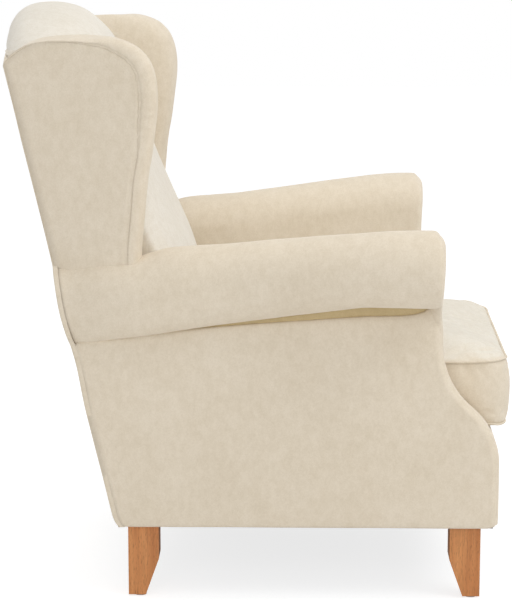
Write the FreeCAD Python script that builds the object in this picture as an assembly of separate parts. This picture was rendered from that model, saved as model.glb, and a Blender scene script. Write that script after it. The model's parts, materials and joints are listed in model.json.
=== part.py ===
"""Wingback chair with scroll arms, a loose seat cushion and tapered wooden legs, in millimetres.

The chair faces -Y and +Z is up; the sitter's left is +X. While the pieces are drawn, Y = 0 is the
front face of the base and Z = 0 is the floor. At the end all of them move together along Y, so that
the origin lies on the floor under the middle of the whole chair.
"""

import FreeCAD, Part
import math
import os

V = FreeCAD.Vector

# Stance and overall sizes
leg_height = 134.0           # floor to the underside of the upholstered base
base_depth = 674.0           # base front to the outside back, at the underside
side_half_width = 322.0      # middle of the chair to the outer face of a side panel
rake_angle = 13.3            # lean of the back from the vertical, degrees
crest_height = 1050.0        # floor to the top of the back, in the middle
crest_fall = 72.0            # how much lower the crest is where the wings start
crest_fall_inset = 52.0      # a side panel's outer face in to where that fall is reached

# Cloth, padding and board thicknesses
cloth = 2.0
facing_foam = 12.0
border_foam = 12.0
deck_foam = 44.0
fibreboard = 3.0
rail_thickness = 28.0

# Seat and its opening between the arms
arm_width = 59.0             # a side panel's outer face in to the arm's inner face, at the arm's front
seat_taper = 0.050           # how fast the inner faces close in towards the back
rail_height = 115.0          # height of the wooden seat rails
arm_flare = 42.0             # how far the inner face leans out up to the roll, at the arm's front
arm_flare_top = 640.0        # height at which the inner face has leaned out that far
arm_flare_loss = 0.100       # how fast that lean is lost towards the back

# S-shaped front edge of each arm
arm_setback = 102.0          # base front to the front of the arm
knee_low = 250.0
knee_high = 470.0
knee_share = 0.45            # lower bend's share of the two radii

# Scroll arm: stations along Y with the roll's middle, top, radius and straight flank
roll_front = dict(out=45.0, top=681.0, radius=67.0, flank=2.0)
roll_fore = dict(back=83.0, out=38.0, top=678.5, radius=66.0, flank=3.0)
roll_mid = dict(back=base_depth - 291.0, out=-21.0, top=647.0, radius=62.0, flank=6.0)
roll_root = dict(back=base_depth - 131.0, out=-38.0, top=633.5, radius=61.0, flank=9.0)
roll_rear = dict(back=base_depth, out=-52.0, top=618.0, radius=60.0, flank=11.0)
roll_edge = 9.0              # rounding of the roll's front edge
arm_rail_inner = 0.86        # arm rail's reach inwards from the roll's middle, share of its radius
arm_rail_outer = 0.75        # and outwards
arm_rail_thickness = 24.0
scroll_board = 12.0
scroll_board_margin = 12.0
board_drop = 91.0            # the roll's middle down to the outside board's top edge
post_cover = 8.0             # padding between an arm post and the inner face
arm_post_width = 58.0

# Wing
wing_angle = 11.7            # splay of the wings from the Y axis, degrees
wing_thickness = 66.0
wing_root_inset = 18.0       # a side panel's outer face in to the wing's, at its rear foot
wing_root_ahead = 25.0       # rear of the base forward to the wing's front, at the arm
wing_brow_ahead = 55.0       # the same at its foremost point
wing_brow_drop = 99.0        # the wing's top down to its foremost point
wing_waist_ahead = 42.0
wing_waist_drop = 191.0
wing_below_crest = 46.0      # top of the back down to the top of the wings
wing_corner_back = 16.0      # how far the front has drawn back where its top corner starts
wing_corner_drop = 28.5      # how far below the top that is
wing_corner_mid_back = 32.0
wing_corner_mid_drop = 8.0
wing_level_back = 75.0       # foremost point to where the top runs level
wing_rear_round = 80.0       # length of the rounding at the rear of the top
wing_rear_drop = 64.0        # height of that rounding
wing_rear_bulge = 19.0       # how far below the top the middle of that rounding lies
wing_tuck = 12.0             # how far the wing runs on into the back
wing_sink = 16.0             # and down into the roll, from the roll's middle
wing_board = 22.0
wing_board_margin = 17.0
wing_board_width = 48.0

# Inside back
back_foot_depth = 152.0      # rear of the base forward to the inside back, at the deck
lumbar_z = 560.0
lumbar_lean = 24.0           # how far it has leaned back there
lumbar_foot_z = 430.0
back_head_drop = 60.0        # top of the back down to where the crest starts to round over
back_head_ahead = 113.0      # and how far in front of the top that is
crest_depth = 70.5           # top of the back forward from the rear plane
crest_round = 54.0           # height of the rounding down to the outside back
crest_front_bulge = 20.0     # height of the crest's two roundings over their chords
crest_rear_bulge = 14.0
back_crown = 24.0            # how much the middle stands in front of the sides
head_crown = 14.0            # the same at the crest
back_corner_inset = 18.0     # arm's inner face in to the side of the inside back, before the wings
back_corner_run = 38.0       # how far it runs back before it opens out to the wings
back_wing_lap = 8.0          # how far behind the wing's front root it reaches the wing
shoulder_rise = 20.0         # middle of the rear roll up to where the outside back steps in
shoulder_height = 25.0       # height of that step
back_corner_drop = 48.0      # how far the outside back's top corners lie below the wing's top
panel_margin = 1.0           # outside back panel to the faces around it

# Back frame
post_depth = 46.0
post_lean_in = 46.0          # how much closer the posts stand at the top
post_below_crest = 90.0      # top of the back down to the top of the posts
top_rail_height = 70.0
top_rail_cover = 38.0        # padding over the top rail
lumbar_rail_low = 330.0
lumbar_rail_height = 60.0
rear_rail_inset = 5.0
webbing_width = 50.0
webbing_thickness = 1.5
webbing_rows = 4
webbing_columns = 3
webbing_lap = 10.0           # how far a column overlaps the rails it is stapled to

# Seat springs
spring_count = 5
spring_wire = 3.4
spring_width = 44.0
spring_turns = 22
spring_share = 0.8           # share of the seat's width over which the springs are spread
spring_lap = 6.0             # how far a spring reaches over the rails
clip_reach = 16.0
clip_width = 10.0
clip_wall = 1.2
clip_gap = 0.01
burlap = 1.2

# Corner blocks and their screws
block_leg = 92.0
block_height = 60.0
block_screw_radius = 2.2
block_screw_length = 38.0
block_screw_height = 42.0    # underside of the block to its screws
block_screw_share = 0.33     # place of the first screw along the block's long face
screw_head_height = 2.0

# Tack rail of the inside arm
tack_rail_low = 318.0
tack_rail_height = 40.0

# Legs
leg_top = 55.0
leg_foot = 31.0
leg_straight = 64.0          # length of the square stretch under the base
leg_inset = 16.0             # a side panel's outer face in to a leg's
front_leg_y = 22.0           # base front to the front face of a front leg
rear_leg_ahead = 18.0        # rear of the base forward to a rear leg's rear face
rear_leg_kick = 10.0         # how far the rear leg's rear face slants forward
bolt_radius = 4.0
bolt_in_leg = 42.0
bolt_in_block = 46.0
nut_radius = 7.0
nut_height = 9.0
glide_radius = 11.0
glide_height = 3.0
nail_radius = 1.5
nail_length = 14.0

# Loose seat cushion
cushion_front = -22.5        # base front to the cushion's front seams, negative is ahead
cushion_back_gap = 17.0      # inside back to the cushion's rear seams
cushion_side_gap = 7.0       # arm's inner face to the cushion's side seams, at its front
cushion_rear_inset = 35.0    # the same face, at the arm's front, in to the cushion's rear corners
cushion_corner = 34.0
cushion_draw_in = 5.0        # how far its sides are drawn in between the corners
cushion_bulge = 6.0          # how far the boxing stands out between its seams
boxing_height = 112.0
boxing_shoulder = 25.0       # height over which the boxing swells out from a seam
cushion_sole = 8.0           # height of the rounded underside below the lower seam
sole_inset = 13.0            # how far that rounding draws in
cushion_crown = 50.0         # height of the crown above the upper seam
crown_fullness = 2.6         # 2 gives an elliptic crown, more gives a flatter and fuller one
crown_angles = (24, 42, 56, 66, 75, 82, 86)
cushion_rest = 0.3           # clearance under the cushion
piping_radius = 3.0
piping_proud = 1.6           # how far the middle of the piping stands outside the seam

# Zip in the rear boxing of the cushion
zip_length = 370.0
zip_tape_end = 8.0           # how far the tape runs on past the chain
zip_chain_height = 6.0
zip_chain_depth = 1.6
zip_tape_height = 24.0
zip_tape_depth = 0.8
slider_length = 11.0
slider_wall = 1.0
slider_gap = 0.3
bail_radius = 0.9
pull_length = 24.0
pull_width = 6.0
pull_thickness = 1.2
stud_length = 1.9
stud_head_height = 0.6

nodes = {}
rake = math.radians(rake_angle)
splay = math.radians(wing_angle)
frame_low = leg_height + cloth
rail_top = frame_low + rail_height
frame_outer = side_half_width - cloth - fibreboard
frame_inner = frame_outer - rail_thickness
skin_depth = cloth + fibreboard
clip_height = spring_wire + 2 * clip_wall
deck_base = rail_top + clip_height + burlap
deck_height = deck_base + deck_foam + cloth
seat_half_front = side_half_width - arm_width
crest_fall_at = side_half_width - crest_fall_inset
crest_y = base_depth + (crest_height - leg_height) * math.tan(rake) - crest_depth
back_head_y = crest_y - back_head_ahead
back_head_z = crest_height - back_head_drop
back_foot_y = base_depth - back_foot_depth
lumbar_y = back_foot_y + lumbar_lean
back_corner_x = seat_half_front - back_corner_inset
back_corner_y = back_foot_y + back_corner_run
post_top = crest_height - post_below_crest
wing_top = crest_height - wing_below_crest
wing_root_x = side_half_width - wing_root_inset
wing_root_y = base_depth - wing_root_ahead
wing_brow_y = base_depth - wing_brow_ahead
wing_brow_z = wing_top - wing_brow_drop
wing_waist_y = base_depth - wing_waist_ahead
wing_waist_z = wing_top - wing_waist_drop
leg_outer = side_half_width - leg_inset
rear_leg_y = base_depth - rear_leg_ahead
cushion_rear = back_foot_y - cushion_back_gap
cushion_half_front = seat_half_front - cushion_side_gap
cushion_half_rear = seat_half_front - cushion_rear_inset
past_rear = base_depth * 1.4
far = 2000.0


def box(x0, x1, y0, y1, z0, z1):
    return Part.makeBox(x1 - x0, y1 - y0, z1 - z0, V(x0, y0, z0))


def closed_wire(start, steps, to_point):
    """A closed wire from a start, straight steps (end,) and arc steps (middle, end)."""
    edges = []
    here = start
    for step in steps:
        if len(step) == 1:
            edges.append(Part.LineSegment(to_point(here), to_point(step[0])).toShape())
        else:
            edges.append(Part.Arc(to_point(here), to_point(step[0]), to_point(step[1])).toShape())
        here = step[-1]
    if math.dist(here, start) > 1e-6:
        edges.append(Part.LineSegment(to_point(here), to_point(start)).toShape())
    return Part.Wire(edges)


def prism_x(start, steps, x0, x1):
    """A solid whose outline lies in the YZ plane, from x0 to x1."""
    wire = closed_wire(start, steps, lambda p: V(x0, p[0], p[1]))
    return Part.Face(wire).extrude(V(x1 - x0, 0, 0))


def prism_y(start, steps, y0, y1):
    """A solid whose outline lies in the XZ plane, from y0 to y1."""
    wire = closed_wire(start, steps, lambda p: V(p[0], y0, p[1]))
    return Part.Face(wire).extrude(V(0, y1 - y0, 0))


def flat_sided(first, last):
    """A solid between two outlines with the same number of corners and flat sides."""
    faces = [Part.Face(Part.makePolygon(ring + ring[:1])) for ring in (first, last)]
    for i in range(len(first)):
        j = (i + 1) % len(first)
        side = [first[i], first[j], last[j], last[i]]
        faces.append(Part.Face(Part.makePolygon(side + side[:1])))
    return Part.makeSolid(Part.makeShell(faces))


def cylinder(base, direction, radius, length):
    return Part.makeCylinder(radius, length, base, direction)


def cut(shape, *tools):
    for tool in tools:
        shape = shape.cut(tool)
    return shape


def fuse(shape, *others):
    for other in others:
        shape = shape.fuse(other)
    return shape.removeSplitter()


def mirror(shape):
    return shape.mirror(V(0, 0, 0), V(1, 0, 0))


def pair(name, shape):
    """The left piece as drawn at +X and the right piece as its mirror image."""
    nodes[name + "_left"] = shape
    nodes[name + "_right"] = mirror(shape)


def group(name, shapes):
    nodes[name] = Part.makeCompound(shapes)


# The leaning plane of the outside back

def rear_y(z, depth=0.0):
    """Y of the plane that lies depth in front of the outside back, at height z."""
    return base_depth + (z - leg_height) * math.tan(rake) - depth / math.cos(rake)


def leaning_slab(half_width, near, deep, low, high):
    """A slab between two depths from the outside back, cut level at its ends."""
    outline = [((rear_y(high, near), high),), ((rear_y(high, deep), high),), ((rear_y(low, deep), low),)]
    return prism_x((rear_y(low, near), low), outline, -half_width, half_width)


def behind(depth):
    """Everything behind the plane that lies depth in front of the outside back."""
    outline = [((rear_y(far, depth), far),), ((far * 2, far),), ((far * 2, -far),)]
    return prism_x((rear_y(-far, depth), -far), outline, -far, far)


behind_panel = behind(skin_depth)


# Arms

def inner_face(y):
    return seat_half_front - (y - arm_setback) * seat_taper


def s_curve(inset):
    """Points of the arm's front edge, set back square to it by inset, from the bottom up."""
    rise = knee_high - knee_low
    turn = 2 * math.atan(arm_setback / rise)
    both = rise / math.sin(turn)
    low_radius = both * knee_share - inset
    high_radius = both * (1 - knee_share) + inset
    low_centre = (both * knee_share, knee_low)
    high_centre = (arm_setback - both * (1 - knee_share), knee_high)

    def low(angle):
        return (low_centre[0] - low_radius * math.cos(angle), low_centre[1] + low_radius * math.sin(angle))

    def high(angle):
        away = high_radius * math.cos(angle)
        return (high_centre[0] + away, high_centre[1] - high_radius * math.sin(angle))

    return low(0), low(turn / 2), low(turn), high(turn / 2), high(0)


def arm_outline(inset, low, rear_depth, front_top, rear_top):
    """Side outline of an arm under its roll: the start point and its steps."""
    a, b, c, d, e = s_curve(inset)
    start = (a[0], low)
    steps = [(a,), (b, c), (d, e), ((e[0], front_top),)]
    steps += [((rear_y(rear_top, rear_depth), rear_top),), ((rear_y(low, rear_depth), low),)]
    return start, steps


def roll_axis(name):
    """X and Z of the roll's middle at its front or rear end."""
    station = roll_front if name == "front" else roll_rear
    return side_half_width + station["out"], station["top"] - station["radius"] - station["flank"] / 2


def between_faces(inner_inset, outer_inset):
    """The space between the inner and outer faces of the left arm."""
    def ring(y):
        x = inner_face(y) + inner_inset
        lean = arm_flare - (y - arm_setback) * arm_flare_loss
        corners = [(x, 0.0), (x, deck_height), (x + lean, arm_flare_top), (far, arm_flare_top), (far, 0.0)]
        points = [V(cx, y, cz) for cx, cz in corners]
        return Part.makePolygon(points + points[:1])
    outer = side_half_width - outer_inset
    space = Part.makeLoft([ring(-arm_setback), ring(past_rear)], True, True)
    return space.common(box(0, outer, -far, far, 0, far))


def roll_section(y, station, inset):
    """The roll's outline at y: two half circles joined by straight flanks."""
    x = side_half_width + station["out"]
    radius = station["radius"] - inset
    middle = station["top"] - station["radius"]
    foot = middle - station["flank"]
    side = radius * math.sqrt(0.5)
    start = (x - radius, foot)
    steps = [
        ((x - radius, middle),),
        ((x - side, middle + side), (x, middle + radius)),
        ((x + side, middle + side), (x + radius, middle)),
        ((x + radius, foot),),
        ((x + side, foot - side), (x, foot - radius)),
        ((x - side, foot - side), start),
    ]
    return closed_wire(start, steps, lambda p: V(p[0], y, p[1]))


def roll(inset):
    """The left arm's roll, smaller all round by inset, with its front edge rounded over."""
    sections = []
    for angle in (0, 45, 90):
        turn = math.radians(angle)
        y = arm_setback + inset + roll_edge * (1 - math.cos(turn))
        sections.append(roll_section(y, roll_front, inset + roll_edge * (1 - math.sin(turn))))
    for station in (roll_fore, roll_mid, roll_root, roll_rear):
        sections.append(roll_section(arm_setback + station["back"], station, inset))
    sections.append(roll_section(past_rear, roll_rear, inset))
    return Part.makeLoft(sections, True, True)


def arm_wall(inset, low):
    """The left arm under its roll, from the S-shaped front to the outside back."""
    front_top = roll_axis("front")[1]
    rear_top = roll_axis("rear")[1]
    start, steps = arm_outline(inset, low, 0.0, front_top, rear_top)
    outer = prism_x(start, steps, 0.0, far)
    return outer.common(between_faces(inset, inset))


roll_skin = roll(0.0)
roll_core = roll(cloth)
wall_skin = arm_wall(0.0, leg_height)
wall_core = arm_wall(cloth, frame_low)
arm_zone = fuse(wall_skin, roll_skin)


# Back posts stand on the base and lean back and slightly inwards

def post_ring(z, outer):
    near = rear_y(z, skin_depth)
    front = rear_y(z, skin_depth + post_depth)
    inner = outer - rail_thickness
    return [V(inner, near, z), V(outer, near, z), V(outer, front, z), V(inner, front, z)]


def post_outer(z):
    return frame_outer - post_lean_in * max(0.0, (z - rail_top) / (post_top - rail_top))


back_post = fuse(
    flat_sided(post_ring(frame_low, frame_outer), post_ring(rail_top, frame_outer)),
    flat_sided(post_ring(rail_top, frame_outer), post_ring(post_top, post_outer(post_top))),
)

# Seat frame

front_rail_y = cloth + border_foam
front_rail = box(-frame_inner, frame_inner, front_rail_y, front_rail_y + rail_thickness, frame_low, rail_top)
rear_rail_y = rear_y(frame_low, skin_depth) - rail_thickness - rear_rail_inset
rear_rail = box(-frame_inner, frame_inner, rear_rail_y, rear_rail_y + rail_thickness, frame_low, rail_top)

post_inset = cloth + facing_foam
a, b, c, d, e = s_curve(post_inset)
f, g, h, i, j = s_curve(post_inset + arm_post_width)
arm_post_top = roll_axis("front")[1] - arm_rail_thickness / 2
arm_post = prism_x(
    (a[0], frame_low),
    [(a,), (b, c), (d, e), ((e[0], arm_post_top),), ((j[0], arm_post_top),), (j,),
     (i, h), (g, f), ((f[0], frame_low),)],
    frame_inner, frame_outer,
).common(between_faces(post_cover, skin_depth))
side_rail_end = rear_y(frame_low, skin_depth + post_depth)
side_rail = box(frame_inner, frame_outer, f[0], side_rail_end, frame_low, rail_top)
side_rail = side_rail.cut(arm_post)

tack_high = tack_rail_low + tack_rail_height
tack_rail = cut(
    prism_x(
        (arm_setback, tack_rail_low),
        [((arm_setback, tack_high),), ((rear_y(tack_high, skin_depth + post_depth), tack_high),),
         ((rear_y(tack_rail_low, skin_depth + post_depth), tack_rail_low),)],
        frame_inner, frame_outer,
    ),
    arm_post,
)

# The arm rail lies inside the roll, on top of the arm post, and ends at the back post

def arm_rail_ring(y, x, z, radius):
    low = z - arm_rail_thickness / 2
    high = z + arm_rail_thickness / 2
    inner = x - radius * arm_rail_inner
    outer = x + radius * arm_rail_outer
    return [V(inner, y, low), V(outer, y, low), V(outer, y, high), V(inner, y, high)]


scroll_y = arm_setback + post_inset
front_x, front_z = roll_axis("front")
rear_x, rear_z = roll_axis("rear")
arm_rail_end = arm_setback + roll_rear["back"]
arm_rail_start = scroll_y + scroll_board
arm_rail_whole = flat_sided(
    arm_rail_ring(arm_rail_start, front_x, front_z, roll_front["radius"] - cloth),
    arm_rail_ring(arm_rail_end, rear_x, rear_z, roll_rear["radius"] - cloth))
arm_rail = cut(arm_rail_whole, back_post, behind(skin_depth + post_depth + webbing_thickness), arm_post)

scroll_radius = roll_front["radius"] - scroll_board_margin
scroll = cylinder(V(front_x, scroll_y, front_z), V(0, 1, 0), scroll_radius, scroll_board)
scroll = cut(scroll, arm_post)

arm_frame = [side_rail, arm_post, tack_rail, arm_rail, scroll, back_post]

# Corner blocks, glued and screwed into the four corners of the seat frame

front_corner = front_rail_y + rail_thickness
rear_corner = rear_rail_y
leg_middle_x = leg_outer - leg_top / 2
front_leg_middle = front_leg_y + leg_top / 2
rear_leg_middle = rear_leg_y - leg_top / 2


def corner_block(y, away):
    corners = [(frame_inner, y), (frame_inner - block_leg, y), (frame_inner, y + away * block_leg)]
    ring = [V(cx, cy, frame_low) for cx, cy in corners]
    return Part.Face(Part.makePolygon(ring + ring[:1])).extrude(V(0, 0, block_height))


def block_screws(y, away):
    """Two screws square to the block's long face, one into each rail."""
    shapes = []
    for share in (block_screw_share, 1 - block_screw_share):
        start = V(frame_inner - block_leg * share, y + away * block_leg * (1 - share),
                  frame_low + block_screw_height)
        towards = V(0, -away, 0) if share > 0.5 else V(1, 0, 0)
        shaft = cylinder(start, towards, block_screw_radius, block_screw_length)
        head_start = start - towards * screw_head_height
        shapes.append(fuse(shaft, cylinder(head_start, towards, block_screw_radius * 2, screw_head_height)))
    return shapes


def bolt(y):
    return cylinder(V(leg_middle_x, y, leg_height - bolt_in_leg), V(0, 0, 1), bolt_radius,
                    bolt_in_leg + cloth + bolt_in_block)


corners = [(front_corner, 1, front_leg_middle), (rear_corner, -1, rear_leg_middle)]
blocks = []
screws = []
bolts = []
nuts = []
for corner_y, away, bolt_y in corners:
    well_low = frame_low + bolt_in_block - nut_height
    well = cylinder(V(leg_middle_x, bolt_y, well_low), V(0, 0, 1), nut_radius, block_height)
    nut = cylinder(V(leg_middle_x, bolt_y, well_low), V(0, 0, 1), nut_radius, nut_height)
    bolt_here = bolt(bolt_y)
    screws_here = block_screws(corner_y, away)
    nuts.append(cut(nut, bolt_here))
    bolts.append(bolt_here)
    screws += screws_here
    blocks.append(cut(corner_block(corner_y, away), well, bolt_here, *screws_here))

for member in ("front", "rear"):
    rail = front_rail if member == "front" else rear_rail
    both_sides = screws + [mirror(s) for s in screws]
    nodes[member + "_seat_rail"] = cut(rail, *[s for s in both_sides if s.distToShape(rail)[0] < 1e-6])
side_rail = cut(side_rail, *[s for s in screws if s.distToShape(side_rail)[0] < 1e-6])
group("corner_blocks", blocks + [mirror(s) for s in blocks])
group("block_screws", screws + [mirror(s) for s in screws])
group("hanger_bolts", bolts + [mirror(s) for s in bolts])
group("tee_nuts", nuts + [mirror(s) for s in nuts])

pair("side_rail", side_rail)
pair("arm_post", arm_post)
group("arm_tack_rails", [tack_rail, mirror(tack_rail)])
group("arm_rails", [arm_rail, mirror(arm_rail)])
group("arm_scroll_boards", [scroll, mirror(scroll)])
pair("back_post", back_post)


# Rails of the back, let in between the posts

def crest_drop(x):
    return crest_fall * (x / crest_fall_at) ** 2


def post_gap(z):
    return post_outer(z) - rail_thickness


def rail_between_posts(low, high):
    def ring(z):
        half = post_gap(z)
        near = rear_y(z, skin_depth)
        front = rear_y(z, skin_depth + rail_thickness)
        return [V(-half, near, z), V(half, near, z), V(half, front, z), V(-half, front, z)]
    return flat_sided(ring(low), ring(high))


top_rail_high = crest_height - top_rail_cover
top_rail_low = post_top - top_rail_height
side_gap = post_gap(post_top)
arch_end = top_rail_high - crest_drop(side_gap)
arch_foot = top_rail_low - top_rail_height
arch = prism_y(
    (-far, arch_foot),
    [((-far, arch_end),), ((-side_gap, arch_end),), ((0.0, top_rail_high), (side_gap, arch_end)),
     ((far, arch_end),), ((far, arch_foot),)],
    0.0, far,
)
top_rail = rail_between_posts(top_rail_low, post_top)
top_cap = leaning_slab(side_gap, skin_depth, skin_depth + rail_thickness, post_top, crest_height).common(arch)
top_rail = fuse(top_rail, top_cap).common(arch)
lumbar_rail = rail_between_posts(lumbar_rail_low, lumbar_rail_low + lumbar_rail_height)
nodes["top_back_rail"] = top_rail
nodes["lumbar_back_rail"] = lumbar_rail

# Webbing between posts and rails, columns behind rows

web_depth = skin_depth + post_depth
rows = []
columns = []
web_low = lumbar_rail_low + lumbar_rail_height
for n in range(webbing_rows):
    low = web_low + (n + 0.5) * (top_rail_low - web_low) / webbing_rows - webbing_width / 2
    rows.append(leaning_slab(post_gap(low) + rail_thickness / 2, web_depth,
                             web_depth + webbing_thickness, low, low + webbing_width))
column_depth = skin_depth + rail_thickness
column_spacing = 2 * post_gap(web_low) / (webbing_columns + 0.5)
for n in range(webbing_columns):
    column = leaning_slab(webbing_width / 2, column_depth, column_depth + webbing_thickness,
                          lumbar_rail_low + webbing_lap, post_top - webbing_lap)
    columns.append(column.translated(V((n - (webbing_columns - 1) / 2) * column_spacing, 0, 0)))
group("back_webbing", rows + columns)


# Wings

root_rear_y = rear_y(roll_axis("rear")[1])


def wing_place(shape):
    """From the wing's own frame, with +Y along the wing and +X outwards, to the chair's."""
    shape.rotate(V(0, 0, 0), V(0, 0, 1), wing_angle)
    shape.translate(V(wing_root_x, root_rear_y, 0))
    return shape


def wing_outer(y):
    """X of the wing's outer face at y."""
    return wing_root_x - (y - root_rear_y) * math.tan(splay)


def wing_inner(y):
    return wing_outer(y) - wing_thickness / math.cos(splay)


def wing_outline(inset):
    """Outline of the wing in its own frame; it runs on below and behind, where others cut it."""
    def along(y):
        return (y - root_rear_y) / math.cos(splay)
    front = along(wing_brow_y) + inset
    top = wing_top - inset
    low = roll_axis("rear")[1] - wing_sink
    rear_start = along(rear_y(wing_top)) - wing_rear_round
    rear_end = along(rear_y(top - wing_rear_drop)) + wing_tuck - inset
    rear_middle = (rear_start + rear_end) / 2 + wing_tuck
    steps = [
        ((along(wing_waist_y) + inset, wing_waist_z),),
        ((front, wing_brow_z), (front + wing_corner_back, top - wing_corner_drop)),
        ((front + wing_corner_mid_back, top - wing_corner_mid_drop), (front + wing_level_back, top)),
        ((rear_start, top),),
        ((rear_middle, top - wing_rear_bulge), (rear_end, top - wing_rear_drop)),
        ((along(rear_y(low)) + wing_tuck, low),),
    ]
    return (along(wing_root_y) + inset, low), steps


def wing_solid(inset, outer, inner):
    start, steps = wing_outline(inset)
    return wing_place(prism_x(start, steps, -inner, -outer))


wing_zone = cut(wing_solid(0.0, 0.0, wing_thickness), behind_panel, arm_zone)
wing_core = wing_solid(cloth, cloth, wing_thickness - cloth)
board_near = (wing_thickness - wing_board) / 2
board_whole = wing_solid(wing_board_margin, board_near, board_near + wing_board)
board_hole = wing_solid(wing_board_margin + wing_board_width, 0.0, wing_thickness)
wing_board_shape = cut(board_whole, board_hole, behind(web_depth + webbing_thickness), back_post, arm_rail)
wing_board_shape = max(wing_board_shape.Solids, key=lambda s: s.Volume)
group("wing_frames", [wing_board_shape, mirror(wing_board_shape)])


# Inside back

def bulged(p, q, bulge):
    """An arc in the YZ plane from p to q that rises by bulge over its chord."""
    middle = (p + q) * 0.5 + V(1, 0, 0).cross(q - p).normalize() * bulge
    return Part.Arc(p, middle, q).toShape()


def back_section(x, inset):
    """Outline of the back in the YZ plane at x: inside face, crest and outside back."""
    drop = crest_drop(x)
    share = (x / crest_fall_at) ** 2
    face = inset + back_crown * share
    slope = math.atan((back_head_y - lumbar_y) / (back_head_z - lumbar_z))
    head = V(x, back_head_y + head_crown * share - drop * math.tan(slope) + inset * math.cos(slope),
             back_head_z - drop - inset * math.sin(slope))
    top = V(x, crest_y - drop * math.tan(rake), crest_height - drop - inset)
    tail_z = crest_height - drop - crest_round
    tail = V(x, rear_y(tail_z, inset), tail_z)
    last = V(x, rear_y(deck_base, inset), deck_base)
    points = [
        last,
        V(x, back_foot_y + face, deck_base),
        V(x, back_foot_y + face, lumbar_foot_z),
        V(x, lumbar_y + face, lumbar_z),
        head,
    ]
    edges = [Part.LineSegment(p, q).toShape() for p, q in zip(points, points[1:])]
    edges.append(bulged(head, top, crest_front_bulge))
    edges.append(bulged(top, tail, crest_rear_bulge))
    edges.append(Part.LineSegment(tail, last).toShape())
    return Part.Wire(edges)


def back_solid(inset):
    stations = [side_half_width * n / 4 for n in range(-4, 5)]
    return Part.makeLoft([back_section(x, inset) for x in stations], True, True)


def back_plan(inset):
    """Seen from above, the inside back narrows in front of the wings, to pass between the arms."""
    root = wing_root_y + back_wing_lap
    inner = wing_inner(root) - inset
    narrow = back_corner_x - inset
    ring = [(inner, root), (narrow, back_corner_y), (narrow, -far), (-narrow, -far), (-narrow, back_corner_y),
            (-inner, root), (-far, root), (-far, far), (far, far), (far, root)]
    points = [V(x, y, 0) for x, y in ring]
    return Part.Face(Part.makePolygon(points + points[:1])).extrude(V(0, 0, far))


def back_plate(near, deep):
    """The outside back between two depths: square at the arms, narrower and arched at the top."""
    shoulder = roll_axis("rear")[1] + shoulder_rise
    foot = shoulder - shoulder_height
    high = wing_top - back_corner_drop
    neck = wing_outer(rear_y(shoulder)) - panel_margin
    corner = wing_outer(rear_y(high)) - panel_margin
    outline = prism_y(
        (-side_half_width, leg_height),
        [((-side_half_width, foot),), ((-neck, shoulder),), ((-corner, high),),
         ((0.0, crest_height - crest_round - panel_margin), (corner, high)),
         ((neck, shoulder),), ((side_half_width, foot),), ((side_half_width, leg_height),)],
        0.0, far,
    )
    return leaning_slab(far, near, deep, leg_height, crest_height).common(outline)


outside_back_cover = back_plate(0.0, cloth)
outside_back_board = back_plate(cloth, skin_depth)
plates = [outside_back_cover, outside_back_board]
back_skin = back_solid(0.0).common(back_plan(0.0))
back_core = back_solid(cloth).common(back_plan(cloth))
hollow_depth = web_depth + webbing_thickness
hollow = leaning_slab(post_gap(post_top), 0.0, hollow_depth, 0.0, post_top)
wide_hollow = leaning_slab(far, 0.0, hollow_depth, 0.0, roll_axis("rear")[1] + roll_rear["radius"])
back_frame = [top_rail, back_post, mirror(back_post)] + rows

both_arms = [arm_zone, mirror(arm_zone)]
both_wings = [wing_zone, mirror(wing_zone)]
inside_back_cover = cut(back_skin, back_core, wide_hollow, *both_arms, *both_wings, *plates, *back_frame)
inside_back_pad = cut(back_core, hollow, wide_hollow, *both_arms, *both_wings, *plates, *back_frame)
inside_back_pad = cut(inside_back_pad, wing_board_shape, mirror(wing_board_shape))
nodes["outside_back_cover"] = outside_back_cover
nodes["outside_back_board"] = outside_back_board
nodes["inside_back_cover"] = max(inside_back_cover.Solids, key=lambda s: s.Volume)
nodes["inside_back_pad"] = max(inside_back_pad.Solids, key=lambda s: s.Volume)

# Wing padding and covers

wing_trim = [behind_panel, arm_zone, back_post, wing_board_shape, top_rail] + rows
wing_pad = cut(wing_core, *wing_trim)
outer_cover = cut(wing_solid(0.0, 0.0, cloth), *wing_trim)
inner_cover = cut(wing_solid(0.0, wing_thickness - cloth, wing_thickness), *wing_trim)
band = cut(wing_solid(0.0, cloth, wing_thickness - cloth), wing_core, *wing_trim)
for name, piece in (("wing_pad", wing_pad), ("outside_wing_cover", outer_cover),
                    ("inside_wing_cover", inner_cover), ("wing_border", band)):
    pair(name, max(piece.Solids, key=lambda s: s.Volume))

# Arm padding and covers

inner_layer = wall_core.common(box(0, frame_inner, -far, far, deck_base, far)).cut(wide_hollow)
start, steps = arm_outline(post_inset, 0.0, 0.0, front_z, rear_z)
front_layer = cut(wall_core, prism_x(start, steps, 0.0, far))
arm_pad = fuse(roll_core, inner_layer, front_layer)
arm_pad = cut(arm_pad, behind_panel, front_rail, wing_board_shape, *arm_frame, *rows)
side_skin = box(side_half_width - cloth, side_half_width, -far, far, 0, far)
board_start, board_steps = arm_outline(post_inset, frame_low, skin_depth, front_z, rear_z)
board_fall = (front_z - rear_z) / roll_rear["back"]
board_edge = [(y, front_z - board_drop - (y - arm_setback) * board_fall) for y in (far, -far)]
below_roll = prism_x((-far, -far), [((far, -far),), (board_edge[0],), (board_edge[1],)], 0.0, far)
board_sheet = prism_x(board_start, board_steps, frame_outer, frame_outer + fibreboard).common(below_roll)
outside_arm_board = cut(board_sheet, roll_core, arm_pad)
arm_pad = cut(arm_pad, outside_arm_board)
outside_arm_cover = cut(wall_skin.common(side_skin), roll_skin, behind_panel)
facing_outer, facing_steps = arm_outline(cloth, 0.0, 0.0, front_z, rear_z)
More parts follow.
